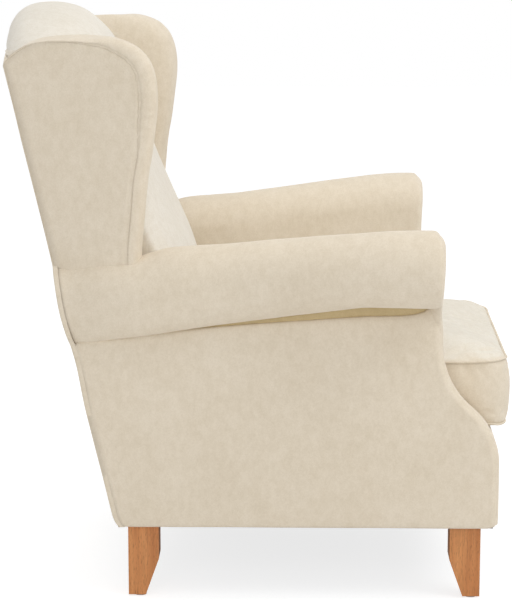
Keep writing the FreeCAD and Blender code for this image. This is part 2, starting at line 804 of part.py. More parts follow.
facing = cut(wall_skin, prism_x(facing_outer, facing_steps, 0.0, far), side_skin, roll_skin)
inner_cloth = cut(wall_skin, wall_core, side_skin, roll_skin, facing, wide_hollow,
                  box(0, far, -far, far, 0, deck_base))
roll_cloth = cut(roll_skin, roll_core, cut(wall_core, facing), behind_panel)
arm_cover = cut(fuse(roll_cloth, inner_cloth), wing_board_shape, *arm_frame, *rows)
outside_arm_board = max(outside_arm_board.Solids, key=lambda s: s.Volume)
group("outside_arm_boards", [outside_arm_board, mirror(outside_arm_board)])
pair("outside_arm_cover", max(outside_arm_cover.Solids, key=lambda s: s.Volume))
pair("arm_facing", max(facing.Solids, key=lambda s: s.Volume))
pair("arm_cover", max(arm_cover.Solids, key=lambda s: s.Volume))
pair("arm_pad", max(arm_pad.Solids, key=lambda s: s.Volume))

# Seat deck: springs, burlap, foam and cloth

spring_z = rail_top + spring_wire / 2 + clip_wall
spring_start = front_corner - spring_lap
spring_end = rear_corner + spring_lap


def zigzag():
    """One flat zigzag spring along Y: half circles joined by straight runs across."""
    run = (spring_end - spring_start) / spring_turns
    bend = run / 2
    half = spring_width / 2 - bend
    edges = []
    side = 1
    here = V(0, spring_start, spring_z)
    for n in range(spring_turns):
        y = spring_start + n * run
        corner = V(side * half, y, spring_z)
        edges.append(Part.LineSegment(here, corner).toShape())
        crest = V(side * (half + bend), y + bend, spring_z)
        here = V(side * half, y + run, spring_z)
        edges.append(Part.Arc(corner, crest, here).toShape())
        side = -side
    edges.append(Part.LineSegment(here, V(0, spring_end, spring_z)).toShape())
    ring = Part.Wire(Part.makeCircle(spring_wire / 2, V(0, spring_start, spring_z), V(1, 0, 0)))
    return Part.Wire(edges).makePipeShell([ring], True, False)


spring = zigzag()
springs = []
clips = []
spacing = 2 * frame_inner * spring_share / spring_count
grip = spring_wire / 2
for n in range(spring_count):
    x = (n - (spring_count - 1) / 2) * spacing
    springs.append(spring.translated(V(x, 0, 0)))
    for y, way in ((spring_start, -1), (spring_end, 1)):
        ends = sorted([y - way * (grip + clip_wall), y + way * (grip + clip_wall + clip_reach)])
        outer = box(x - clip_width / 2, x + clip_width / 2, *ends, rail_top, rail_top + clip_height)
        slot = box(x - clip_width, x + clip_width, y - grip - clip_gap, y + grip + clip_gap,
                   rail_top + clip_wall, rail_top + clip_wall + spring_wire)
        clips.append(cut(outer, slot))
group("seat_springs", springs)
group("spring_clips", clips)

burlap_low = deck_base - burlap
burlap_end = rear_rail_y + rail_thickness
burlap_sheet = box(-frame_inner, frame_inner, front_rail_y, burlap_end, burlap_low, deck_base)
nodes["spring_burlap"] = cut(burlap_sheet, *both_arms, back_post, mirror(back_post))

# Deck foam and cloth, and the padded front border

deck_top = deck_height - cloth


def border_outline(inset, low):
    """Side outline of the front border, rounded over at its top front edge."""
    high = deck_height - inset
    bend = border_foam - inset
    corner = deck_height - border_foam
    middle = (border_foam - bend * math.sqrt(0.5), corner + bend * math.sqrt(0.5))
    steps = [((inset, corner),), (middle, (border_foam, high)),
             ((front_rail_y, high),), ((front_rail_y, low),)]
    return (inset, low), steps


arm_spaces = [between_faces(0.0, 0.0), mirror(between_faces(0.0, 0.0))]
half_bay = inner_face(0.0)
border_skin = prism_x(*border_outline(0.0, leg_height), -half_bay, half_bay)
border_core = prism_x(*border_outline(cloth, frame_low), -half_bay, half_bay)
border_sole = box(-far, far, cloth, far, 0, frame_low)
nodes["front_border_cover"] = cut(border_skin, border_core, border_sole, *arm_spaces)
nodes["front_border_pad"] = cut(border_core, *arm_spaces)
deck_space = box(-half_bay, half_bay, front_rail_y, rear_rail_y, deck_base, deck_top)
deck_sheet = box(-half_bay, half_bay, front_rail_y, rear_rail_y, deck_top, deck_height)
nodes["deck_pad"] = cut(deck_space, back_skin, *arm_spaces)
nodes["deck_cover"] = cut(deck_sheet, back_skin, *arm_spaces)


# Legs, their glides and the dust cover between them

def tapered(face, away, top_z):
    """Corners of a leg from one side: a straight outer face and, below a square top, a taper opposite."""
    inner = face + away * leg_top
    return (face, top_z), [((inner, top_z),), ((inner, leg_height - leg_straight),),
                           ((face + away * leg_foot, glide_height),), ((face, glide_height),)]


def leg(face_y, away, kick, bolt_here):
    start, steps = tapered(face_y, away, frame_low)
    side = prism_x(start, steps, leg_outer - leg_top, leg_outer)
    start, steps = tapered(leg_outer, -1, frame_low)
    front = prism_y(start, steps, face_y - leg_top * 2, face_y + leg_top * 2)
    shape = side.common(front)
    if kick:
        kicked_y = face_y + away * kick
        wedge = [V(0, face_y, frame_low), V(0, kicked_y, glide_height), V(0, face_y, glide_height)]
        shape = shape.cut(Part.Face(Part.makePolygon(wedge + wedge[:1])).extrude(V(far, 0, 0)))
    return shape.cut(bolt_here)


def glide(x, y):
    disc = cylinder(V(x, y, 0), V(0, 0, 1), glide_radius, glide_height)
    nail = cylinder(V(x, y, glide_height), V(0, 0, 1), nail_radius, nail_length)
    return fuse(disc, nail)


foot_x = leg_outer - leg_foot / 2
front_glide = glide(foot_x, front_leg_y + leg_foot / 2)
rear_glide = glide(foot_x, rear_leg_y - (leg_foot + rear_leg_kick) / 2)
front_leg = cut(leg(front_leg_y, 1, 0.0, bolts[0]), front_glide)
rear_leg = cut(leg(rear_leg_y, -1, -rear_leg_kick, bolts[1]), rear_glide)
pair("front_leg", front_leg)
pair("rear_leg", rear_leg)
glides = [front_glide, rear_glide]
group("leg_glides", glides + [mirror(s) for s in glides])

dust = box(-side_half_width + cloth, side_half_width - cloth, cloth, far / 2, leg_height, frame_low)
tops = [front_leg, rear_leg, mirror(front_leg), mirror(rear_leg)]
nodes["dust_cover"] = cut(dust, behind_panel, *tops, *bolts, *[mirror(s) for s in bolts])


# Seat cushion: a box cushion with piped seams, a crowned top and sides drawn in

def seat_outline(z, inset, factor=1.0):
    """The cushion seen from above at height z: four rounded corners joined by shallow arcs."""
    back = cushion_rear - cushion_corner
    front = cushion_front + cushion_corner
    half_front = cushion_half_front - cushion_corner
    half_rear = cushion_half_rear - cushion_corner
    centres = [V(half_front, front, z), V(half_rear, back, z),
               V(-half_rear, back, z), V(-half_front, front, z)]
    draws = [cushion_draw_in, 0.0, cushion_draw_in, cushion_draw_in]
    radius = cushion_corner - inset
    sides = []
    for i in range(4):
        p, q = centres[i], centres[(i + 1) % 4]
        along = (q - p).normalize()
        out = V(along.y, -along.x, 0)
        half = (q - p).Length / 2
        middle = (p + q) * 0.5
        draw = draws[i]
        if draw == 0.0:
            sides.append((p + out * radius, None, q + out * radius))
            continue
        height = radius - draw
        big = (half * half + height * height - radius * radius) / (2 * draw)
        hub = middle + out * (height + big)
        first = p + (hub - p) * (radius / (big + radius))
        last = q + (hub - q) * (radius / (big + radius))
        sides.append((first, middle + out * height, last))
    edges = []
    for i in range(4):
        first, mid, last = sides[i]
        if mid is None:
            edges.append(Part.LineSegment(first, last).toShape())
        else:
            edges.append(Part.Arc(first, mid, last).toShape())
        corner = centres[(i + 1) % 4]
        start = sides[(i + 1) % 4][0]
        bisector = ((last - corner) + (start - corner)).normalize()
        edges.append(Part.Arc(last, corner + bisector * radius, start).toShape())
    wire = Part.Wire(edges)
    if factor != 1.0:
        wire.scale(factor, V(0, (cushion_front + cushion_rear) / 2, z))
    return wire


cushion_low = deck_height + cushion_rest
seam_low = cushion_low + cushion_sole
seam_high = seam_low + boxing_height


def cushion_solid(inset):
    """The cushion up to its upper seam, and its crown, both smaller all round by inset."""
    rounding = []
    for angle in (0, 45):
        turn = math.radians(angle)
        low = cushion_low + inset + cushion_sole * (1 - math.cos(turn))
        rounding.append((low, inset + sole_inset * (1 - math.sin(turn))))
    levels = rounding + [
        (seam_low, inset),
        (seam_low + boxing_shoulder, inset - cushion_bulge),
        (seam_high - boxing_shoulder, inset - cushion_bulge),
        (seam_high, inset),
    ]
    body = Part.makeLoft([seat_outline(z, less) for z, less in levels], True, True)
    rings = [seat_outline(seam_high, inset)]
    for angle in crown_angles:
        rise = math.sin(math.radians(angle))
        share = (1 - rise ** crown_fullness) ** (1 / crown_fullness)
        rings.append(seat_outline(seam_high + cushion_crown * rise - inset, inset, share))
    return body, Part.makeLoft(rings, True, True)


def piping_ring(z):
    path = seat_outline(z, -piping_proud)
    start = path.Edges[0].firstVertex().Point
    tangent = path.Edges[0].tangentAt(path.Edges[0].FirstParameter)
    ring = Part.Wire(Part.makeCircle(piping_radius, start, tangent))
    return path.makePipeShell([ring], True, False)


def piping_groove(z):
    """The space around a ring of piping that the cover leaves free."""
    inner = Part.Face(seat_outline(z - piping_radius, piping_radius - piping_proud))
    outer = Part.Face(seat_outline(z - piping_radius, -cushion_corner))
    return outer.cut(inner).extrude(V(0, 0, 2 * piping_radius))


piping_levels = [seam_low - piping_proud / 2, seam_high + piping_proud / 2]
piping = [piping_ring(z) for z in piping_levels]
body_skin, crown_skin = cushion_solid(0.0)
body_core, crown_core = cushion_solid(cloth)
cushion_core = body_core.fuse(crown_core)
piping_room = [piping_groove(z) for z in piping_levels]
nodes["cushion_cover"] = cut(body_skin.fuse(crown_skin), cushion_core, *piping_room)
nodes["cushion_core"] = cushion_core
group("cushion_piping", piping)

# Zip across the rear boxing, its slider and its pull

zip_z = (seam_low + seam_high) / 2
tape_y = cushion_rear + cushion_bulge
chain_y = tape_y + zip_tape_depth
half_zip = zip_length / 2
zip_start = half_zip - slider_length / 2
tape_half = half_zip + zip_tape_end
tape = box(-tape_half, tape_half, tape_y, chain_y, zip_z - zip_tape_height / 2, zip_z + zip_tape_height / 2)
chain = box(-half_zip, half_zip, chain_y, chain_y + zip_chain_depth,
            zip_z - zip_chain_height / 2, zip_z + zip_chain_height / 2)
group("zip_tape_and_chain", [tape, chain])
channel = zip_chain_height / 2 + slider_gap
shell = channel + slider_wall
slider_y = chain_y + zip_chain_depth + slider_gap
slider_face = slider_y + slider_wall
body = box(zip_start - slider_length / 2, zip_start + slider_length / 2,
           chain_y + slider_gap, slider_face, zip_z - shell, zip_z + shell)
groove_ends = (zip_start - slider_length, zip_start + slider_length)
groove = box(*groove_ends, 0, slider_y, zip_z - channel, zip_z + channel)
stud = cylinder(V(zip_start, slider_face, zip_z), V(0, 1, 0), bail_radius, stud_length)
stud_end = V(zip_start, slider_face + stud_length, zip_z)
stud_head = cylinder(stud_end, V(0, 1, 0), bail_radius * 2, stud_head_height)
nodes["zip_slider"] = fuse(cut(body, groove), stud, stud_head)
pull_y = slider_face + slider_gap
pull_eye = cylinder(V(zip_start, pull_y, zip_z), V(0, 1, 0), pull_width / 2, pull_thickness)
pull_bar = box(zip_start - pull_width / 2, zip_start + pull_width / 2, pull_y, pull_y + pull_thickness,
               zip_z - pull_length, zip_z)
hole_start = V(zip_start, pull_y - 1, zip_z)
pull_hole = cylinder(hole_start, V(0, 1, 0), bail_radius + slider_gap, pull_thickness + 2)
nodes["zip_pull"] = cut(fuse(pull_eye, pull_bar), pull_hole)

# The whole chair moves along Y until the origin is under its middle

whole = Part.makeCompound(list(nodes.values())).optimalBoundingBox()
shift = V(0, -(whole.YMin + whole.YMax) / 2, 0)
os.makedirs("parts", exist_ok=True)
for name, shape in nodes.items():
    moved = shape.translated(shift)
    moved.exportStep(f"parts/{name}.step")
print(len(nodes), "nodes")
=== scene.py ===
"""Looks of the wingback chair: upholstery, piping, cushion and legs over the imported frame.

Shapes are worked out in millimetres in the drawing frame of the solids (Y = 0 at the base's front,
Z = 0 on the floor, the sitter's left at +X) and written in metres in the shared frame.
"""

import json
from math import copysign, cos, exp, hypot, pi, radians, sin, sqrt, tan

import bmesh
import bpy
import numpy as np
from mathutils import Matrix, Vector, noise


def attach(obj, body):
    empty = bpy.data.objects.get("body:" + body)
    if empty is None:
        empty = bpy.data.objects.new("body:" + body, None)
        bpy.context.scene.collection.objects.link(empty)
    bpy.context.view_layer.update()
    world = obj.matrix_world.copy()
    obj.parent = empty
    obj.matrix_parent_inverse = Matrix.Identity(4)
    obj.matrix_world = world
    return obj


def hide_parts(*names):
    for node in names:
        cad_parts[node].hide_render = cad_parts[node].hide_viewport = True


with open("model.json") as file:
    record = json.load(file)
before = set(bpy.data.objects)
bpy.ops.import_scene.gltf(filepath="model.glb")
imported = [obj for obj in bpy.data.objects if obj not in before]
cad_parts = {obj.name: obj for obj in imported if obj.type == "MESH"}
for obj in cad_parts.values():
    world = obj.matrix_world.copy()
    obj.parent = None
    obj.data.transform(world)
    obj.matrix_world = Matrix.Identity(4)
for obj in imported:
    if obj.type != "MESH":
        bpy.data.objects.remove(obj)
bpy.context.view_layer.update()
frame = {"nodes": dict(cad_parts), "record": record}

scene = bpy.context.scene
bpy.context.scene.view_settings.view_transform = "Standard"

MIDDLE = 426.29              # drawing frame's Y of the shared frame's origin
LEAN = radians(13.3)         # of the back, from the vertical
RAKE = tan(LEAN)
SPLAY = radians(11.7)        # of the wings, from the Y axis
FOOT = 134.0                 # floor to the underside of the base
BASE_DEPTH = 674.0           # base front to the outside back, at the underside
OUTER = 322.6                # middle to the outer face of a side panel
ARM_FRONT = 102.0            # base front to the arm's front
DECK = 304.0                 # floor to the top of the deck
FOOT_RADIUS = 9.0            # rounding of the arms' cloth under the base
WELT_RADIUS = 0.0021         # metres


# Helpers

def at(x, y, z):
    return (x / 1000, (y - MIDDLE) / 1000, z / 1000)


def clamp(t):
    return max(0.0, min(1.0, t))


def smooth(a, b, t):
    t = clamp((t - a) / (b - a))
    return t * t * (3 - 2 * t)


def curve_at(points, t):
    """Smooth value of y(x) through (x, y) points, without overshoot at the ends."""
    xs = [p[0] for p in points]
    ys = [p[1] for p in points]
    if t <= xs[0]:
        return ys[0]
    if t >= xs[-1]:
        return ys[-1]
    i = max(k for k in range(len(xs)) if xs[k] <= t)
    slopes = [(ys[k + 1] - ys[k]) / (xs[k + 1] - xs[k]) for k in range(len(xs) - 1)]

    def tangent(k):
        if k == 0:
            return slopes[0]
        if k == len(xs) - 1:
            return slopes[-1]
        a, b = slopes[k - 1], slopes[k]
        return 0.0 if a * b <= 0 else 2 * a * b / (a + b)
    h = xs[i + 1] - xs[i]
    u = (t - xs[i]) / h
    m0, m1 = tangent(i) * h, tangent(i + 1) * h
    return ((2 * u ** 3 - 3 * u ** 2 + 1) * ys[i] + (u ** 3 - 2 * u ** 2 + u) * m0
            + (-2 * u ** 3 + 3 * u ** 2) * ys[i + 1] + (u ** 3 - u ** 2) * m1)


def mesh_object(name, verts, faces, smooth_faces=True):
    me = bpy.data.meshes.new(name)
    me.from_pydata([tuple(v) for v in verts], [], faces)
    bm = bmesh.new()
    bm.from_mesh(me)
    bmesh.ops.remove_doubles(bm, verts=bm.verts, dist=1e-6)
    bmesh.ops.recalc_face_normals(bm, faces=bm.faces)
    for f in bm.faces:
        f.smooth = smooth_faces
    bm.to_mesh(me)
    bm.free()
    ob = bpy.data.objects.new(name, me)
    scene.collection.objects.link(ob)
    return ob


def skin(name, rows, closed=False, cap_last=False, side=1):
    """A sheet through rows of points, or a closed form through rings of them; side -1 mirrors it
    to the sitter's right."""
    n = len(rows[0])
    verts = [at(side * x, y, z) for row in rows for x, y, z in row]
    faces = []
    for r in range(len(rows) - 1):
        for c in range(n if closed else n - 1):
            d = (c + 1) % n
            faces.append((r * n + c, r * n + d, (r + 1) * n + d, (r + 1) * n + c))
    if closed:
        faces.append(tuple(range(n)))
    if closed or cap_last:
        faces.append(tuple((len(rows) - 1) * n + c for c in range(n)))
    return mesh_object(name, verts, faces)


def apply_modifiers(ob):
    depsgraph = bpy.context.evaluated_depsgraph_get()
    me = bpy.data.meshes.new_from_object(ob.evaluated_get(depsgraph), depsgraph=depsgraph)
    old = ob.data
    ob.modifiers.clear()
    ob.data = me
    bpy.data.meshes.remove(old)
    for p in me.polygons:
        p.use_smooth = True


def ruffle(ob, amount, size, seed=0.0):
    """Small lumps of stuffing: each vertex moves along its normal by up to amount metres."""
    me = ob.data
    normals = [v.normal.copy() for v in me.vertices]
    for v, n in zip(me.vertices, normals):
        p = v.co / size + Vector((seed, seed * 1.7, seed * 0.3))
        v.co += n * amount * (noise.noise(p) + 0.5 * noise.noise(p * 2.3))
    me.update()


def tube(name, path, radius, sides=10):
    """A round tube along a closed ring of points in metres."""
    pts = [Vector(p) for p in path]
    n = len(pts)
    verts, faces = [], []
    for i in range(n):
        along = (pts[(i + 1) % n] - pts[i - 1]).normalized()
        across = along.cross(Vector((0, 0, 1))).normalized()
        lift = across.cross(along).normalized()
        for k in range(sides):
            turn = 2 * pi * k / sides
            verts.append(pts[i] + (across * cos(turn) + lift * sin(turn)) * radius)
    for i in range(n):
        j = (i + 1) % n
        for k in range(sides):
            m = (k + 1) % sides
            faces.append((i * sides + k, i * sides + m, j * sides + m, j * sides + k))
    return mesh_object(name, verts, faces)


def resample(points, count):
    """Points spaced evenly along a closed polyline."""
    pts = [np.array(p, float) for p in points]
    pts.append(pts[0])
    steps = [0.0]
    for a, b in zip(pts, pts[1:]):
        steps.append(steps[-1] + float(np.linalg.norm(b - a)))
    out = []
    k = 0
    for i in range(count):
        s = steps[-1] * i / count
        while k < len(steps) - 2 and steps[k + 1] < s:
            k += 1
        span = steps[k + 1] - steps[k]
        t = (s - steps[k]) / span if span else 0.0
        out.append(tuple(pts[k] * (1 - t) + pts[k + 1] * t))
    return out


def rounded(points, per_span):
    """Catmull-Rom curve through the points of an open line."""
    pts = [np.array(p, float) for p in points]
    pts = [2 * pts[0] - pts[1], *pts, 2 * pts[-1] - pts[-2]]
    out = []
    for p0, p1, p2, p3 in zip(pts, pts[1:], pts[2:], pts[3:]):
        for k in range(per_span):
            t = k / per_span
            out.append(tuple(0.5 * ((2 * p1) + (p2 - p0) * t
                                    + (2 * p0 - 5 * p1 + 4 * p2 - p3) * t * t
                                    + (3 * p1 - p0 - 3 * p2 + p3) * t ** 3)))
    out.append(tuple(pts[-2]))
    return out


def inset_ring(ring, amount):
    """A closed ring of 2-D points moved inwards by amount, square to itself."""
    n = len(ring)
    area = sum(a[0] * b[1] - b[0] * a[1] for a, b in zip(ring, ring[1:] + ring[:1]))
    way = 1 if area > 0 else -1
    out = []
    for i in range(n):
        a, b = ring[(i - 1) % n], ring[(i + 1) % n]
        dx, dy = b[0] - a[0], b[1] - a[1]
        size = hypot(dx, dy) or 1.0
        out.append((ring[i][0] - way * dy / size * amount, ring[i][1] + way * dx / size * amount))
    return out


# Materials

def put(node, **values):
    """Sets a node's inputs by name, with _ in place of a space."""
    for name, value in values.items():
        node.inputs[name.replace("_", " ")].default_value = value


def new_material(name):
    m = bpy.data.materials.new(name)
    m.use_nodes = True
    return m, m.node_tree, m.node_tree.nodes["Principled BSDF"]


def textured_material(name):
    """A new material, with the object's own coordinates for its textures."""
    m, tree, shader = new_material(name)
    return m, tree, shader, tree.nodes.new("ShaderNodeTexCoord").outputs["Object"]


def noise_node(tree, coords, scale, detail, roughness, stretch=None):
    """Noise over the object; stretch scales its coordinates axis by axis."""
    if stretch:
        m = tree.nodes.new("ShaderNodeMapping")
        put(m, Scale=stretch)
        tree.links.new(coords, m.inputs["Vector"])
        coords = m.outputs["Vector"]
    n = tree.nodes.new("ShaderNodeTexNoise")
    put(n, Scale=scale, Detail=detail, Roughness=roughness)
    tree.links.new(coords, n.inputs["Vector"])
    return n.outputs["Fac"]


def ramp(tree, fac, low, high):
    """Colour ramp between two stops, each as (position, colour)."""
    r = tree.nodes.new("ShaderNodeValToRGB")
    for element, (position, colour) in zip(r.color_ramp.elements, (low, high)):
        element.position = position
        element.color = colour
    tree.links.new(fac, r.inputs["Fac"])
    return r.outputs["Color"]


def mix(tree, kind, fac, a, b):
    m = tree.nodes.new("ShaderNodeMix")
    m.data_type = "RGBA"
    m.blend_type = kind
    if isinstance(fac, (int, float)):
        m.inputs[0].default_value = fac
    else:
        tree.links.new(fac, m.inputs[0])
    for socket, value in ((m.inputs[6], a), (m.inputs[7], b)):
        if isinstance(value, tuple):
            socket.default_value = value
        else:
            tree.links.new(value, socket)
    return m.outputs[2]


def grey(v):
    return (v, v, v, 1)


def shades(tree, fac, low, high):
    """Ramp between two greys, each as (position, grey)."""
    return ramp(tree, fac, (low[0], grey(low[1])), (high[0], grey(high[1])))


def vary_roughness(tree, shader, by, low, high):
    spread = tree.nodes.new("ShaderNodeMapRange")
    put(spread, To_Min=low, To_Max=high)
    tree.links.new(by, spread.inputs["Value"])
    tree.links.new(spread.outputs["Result"], shader.inputs["Roughness"])


def bump(tree, shader, layers):
    """Chained bump nodes: (height, strength, distance in metres)."""
    last = None
    for height, strength, distance in layers:
        b = tree.nodes.new("ShaderNodeBump")
        put(b, Strength=strength, Distance=distance)
        tree.links.new(height, b.inputs["Height"])
        if last is not None:
            tree.links.new(last, b.inputs["Normal"])
        last = b.outputs["Normal"]
    tree.links.new(last, shader.inputs["Normal"])


def velvet(name, colour, contrast=1.0, painted_top_light=None):
    """Short-pile cloth: brushed nap, fine pile, soft sheen; the last argument is painted light, a
    second colour mixed in on the faces that look up.
    """
    m, tree, shader, coords = textured_material(name)
    broad = noise_node(tree, coords, 9.0, 3.0, 0.5)
    patch = noise_node(tree, coords, 70.0, 5.0, 0.68, (1, 1, 0.8))
    speck = noise_node(tree, coords, 330.0, 3.0, 0.6)
    pile = noise_node(tree, coords, 1500.0, 2.0, 0.6)
    c = 0.05 * contrast
    # pattern, its darkest and lightest value, and how much it darkens
    tints = [(broad, 0.35, 0.65, 0.6 * c), (patch, 0.36, 0.62, 1.1 * c),
             (speck, 0.36, 0.60, 0.9 * c), (pile, 0.32, 0.62, 1.2 * c)]
    col = (*colour, 1)
    # painted light: faces that look up are mixed towards the given colour by how far their normal
    # points up
    if painted_top_light:
        split = tree.nodes.new("ShaderNodeSeparateXYZ")
        normal = tree.nodes.new("ShaderNodeNewGeometry").outputs["Normal"]
        tree.links.new(normal, split.inputs["Vector"])
        facing = shades(tree, split.outputs["Z"], (0.35, 0.0), (1.0, 1.0))
        col = mix(tree, "MIX", facing, col, (*painted_top_light, 1))
    for fac, low, high, loss in tints:
        worn = (1 - loss, 1 - 1.2 * loss, 1 - 1.6 * loss, 1)
        tint = ramp(tree, fac, (low, worn), (high, grey(1.0)))
        col = mix(tree, "MULTIPLY", 1.0, col, tint)
    tree.links.new(col, shader.inputs["Base Color"])
    put(shader, Roughness=0.92, Specular_IOR_Level=0.18, Sheen_Weight=0.34, Sheen_Roughness=0.45,
        Sheen_Tint=(1.0, 0.97, 0.92, 1))
    dimple = noise_node(tree, coords, 90.0, 3.0, 0.55)
    bump(tree, shader, [(dimple, 0.16, 0.0012), (pile, 0.22, 0.0004)])
    return m


def woven(name, colour, threads, contrast=0.25, axis_b="Y"):
    """Plain weave seen as crossing ribs, threads per metre."""
    m, tree, shader, coords = textured_material(name)
    waves = []
    for direction in ("X", axis_b):
        w = tree.nodes.new("ShaderNodeTexWave")
        w.wave_type = "BANDS"
        w.bands_direction = direction
        put(w, Scale=threads / 20.0, Distortion=0.6, Detail=1.0)
        tree.links.new(coords, w.inputs["Vector"])
        waves.append(w.outputs["Fac"])
    both = mix(tree, "MULTIPLY", 1.0, waves[0], waves[1])
    dark = tuple(v * (1 - contrast) for v in colour) + (1,)
    fuzz = noise_node(tree, coords, 60.0, 4.0, 0.6)
    col = mix(tree, "MIX", both, dark, (*colour, 1))
    worn = shades(tree, fuzz, (0.3, 0.86), (0.7, 1.0))
    col = mix(tree, "MULTIPLY", 1.0, col, worn)
    tree.links.new(col, shader.inputs["Base Color"])
    put(shader, Roughness=0.9, Specular_IOR_Level=0.2)
    bump(tree, shader, [(both, 0.35, 0.0006)])
    return m


def wood(name, colour, dark, grain=1.0, roughness=0.42):
    """Straight-grained beech: long soft bands along Z and short dark flecks."""
    m, tree, shader, coords = textured_material(name)
    bands = noise_node(tree, coords, 1.0, 4.0, 0.62, (55, 55, 3.2))
    fine = noise_node(tree, coords, 1.0, 3.0, 0.6, (420, 420, 14))
    flecks = noise_node(tree, coords, 1.0, 1.0, 0.4, (900, 900, 110))
    growth = shades(tree, bands, (0.34, 0.0), (0.66, 1.0))
    col = mix(tree, "MIX", growth, (*dark, 1), (*colour, 1))
    for marks in (shades(tree, fine, (0.30, 0.78), (0.60, 1.0)),
                  shades(tree, flecks, (0.30, 0.62), (0.42, 1.0))):
        col = mix(tree, "MULTIPLY", 0.8 * grain, col, marks)
    tree.links.new(col, shader.inputs["Base Color"])
    vary_roughness(tree, shader, bands, roughness - 0.07, roughness + 0.1)
    put(shader, Specular_IOR_Level=0.45)
    bump(tree, shader, [(fine, 0.12, 0.0004)])
    return m


def board(name, colour):
    """Pressed fibre or foam: fine speckle without a direction."""
    m, tree, shader, coords = textured_material(name)
    fibres = noise_node(tree, coords, 260.0, 5.0, 0.7)
    speckle = shades(tree, fibres, (0.3, 0.75), (0.7, 1.05))
    col = mix(tree, "MULTIPLY", 1.0, (*colour, 1), speckle)
    tree.links.new(col, shader.inputs["Base Color"])
    put(shader, Roughness=0.85)
    bump(tree, shader, [(fibres, 0.2, 0.0005)])
    return m


def metal(name, colour, roughness):
    """Metal with faint drawn marks along Z."""
    m, tree, shader, coords = textured_material(name)
    marks = noise_node(tree, coords, 220.0, 4.0, 0.6, (1, 1, 0.15))
    wear = shades(tree, marks, (0.3, 0.82), (0.65, 1.0))
    tree.links.new(mix(tree, "MULTIPLY", 1.0, (*colour, 1), wear), shader.inputs["Base Color"])
    put(shader, Metallic=1.0)
    vary_roughness(tree, shader, marks, roughness - 0.08, roughness + 0.12)
    bump(tree, shader, [(marks, 0.08, 0.0003)])
    return m


CREAM = (0.797, 0.709, 0.582)
# painted shade: a darker, more saturated cream for the hollow under the roll, where shade falls
painted_recess_shade = velvet("velvet_painted_recess_shade", (0.66, 0.53, 0.31))
# painted light: the inside back takes a lighter copy of the cream velvet, a little less light on its
# faces that look up
back_painted_light = velvet("velvet_back_painted_light", (0.855, 0.815, 0.745), 1.0, (0.82, 0.775, 0.695))
# painted light: the cushion's faces that look up are made lighter than its sides
seat_painted_top_light = velvet("velvet_seat_painted_top_light", CREAM, 1.0, (0.83, 0.79, 0.71))

slot_materials = {
    "upholstery": velvet("velvet_cream", CREAM),
    "piping": velvet("velvet_welt", (0.80, 0.718, 0.595), 1.2),
    "frame_wood": wood("frame_timber", (0.58, 0.42, 0.26), (0.40, 0.26, 0.14), 0.6, 0.6),
    "leg_wood": wood("leg_beech", (0.665, 0.285, 0.098), (0.53, 0.195, 0.058)),
    "fibreboard": board("fibreboard_brown", (0.36, 0.26, 0.16)),
    "foam": board("foam_pale", (0.82, 0.78, 0.62)),
    "dust_cloth": woven("dust_lining", (0.035, 0.034, 0.033), 1200, 0.5),
    "burlap": woven("burlap_brown", (0.44, 0.32, 0.18), 500, 0.5),
    "webbing": woven("webbing_tan", (0.36, 0.27, 0.17), 700, 0.4, "Z"),
    "deck_cloth": woven("deck_lining", (0.66, 0.59, 0.46), 900),
    "spring_steel": metal("spring_wire", (0.45, 0.45, 0.46), 0.35),
    "zinc_steel": metal("zinc_fastener", (0.62, 0.62, 0.60), 0.38),
    "glide_steel": metal("glide_nickel", (0.66, 0.65, 0.63), 0.25),
    "zip_tape": woven("zip_tape_cloth", (0.66, 0.58, 0.46), 1600, 0.3, "Z"),
    "zip_brass": metal("zip_brass_cast", (0.72, 0.53, 0.25), 0.3),
}
node_slot = {s["node"]: s["material_slot"] for s in frame["record"]["subparts"]}
for node, ob in frame["nodes"].items():
    for m in ob.material_slots:
        m.material = slot_materials[node_slot[node]]
    if not ob.material_slots:
        ob.data.materials.append(slot_materials[node_slot[node]])


def dress(ob, material=None, body="chair", slot="upholstery", nodes=()):
    """Gives a piece its body and a material, its slot's if none is named, and hides the solids
    that it stands for."""
    ob.data.materials.clear()
    ob.data.materials.append(material or slot_materials[slot])
    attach(ob, body)
    if nodes:
        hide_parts(*nodes)


# Lines that several pieces share

def rear_y(z, depth=0.0):
    """Y of the leaning plane of the outside back, depth ahead of it."""
    return BASE_DEPTH + (z - FOOT) * RAKE - depth / cos(LEAN)


def rear_swell(z):
    """How far the cloth stands behind that plane: at the rolls' ends and low on the back."""
    return (4.4 * exp(-((z - 520) / 50.0) ** 2)
            + 4.8 * smooth(440, 330, z) * smooth(134, 152, z))


def front_y(z):
    """Y of the arm's front edge: the S-curve below, the nearly upright front of the roll above."""
    low, bend, high = 250, 349, 470  # where the two arcs of the S start, meet and end
    low_radius, high_radius, face = 129.7, 158.6, 99.0
    if z < low:
        return -4.4
    if z < bend:
        return 125.3 + 1.4 * smooth(low, bend, z) - sqrt(low_radius ** 2 - (z - low) ** 2)
    if z < high:
        return face - high_radius + sqrt(high_radius ** 2 - (high - z) ** 2)
    return face + 4.5 * smooth(480, 545, z) - 2.6 * smooth(570, 660, z)


def foot_round(z, radius):
    """How far an upright face has drawn in at its foot, where it rounds under the base."""
    t = clamp((z - FOOT) / radius)
    return radius * (1 - sqrt(1 - (1 - t) ** 2))


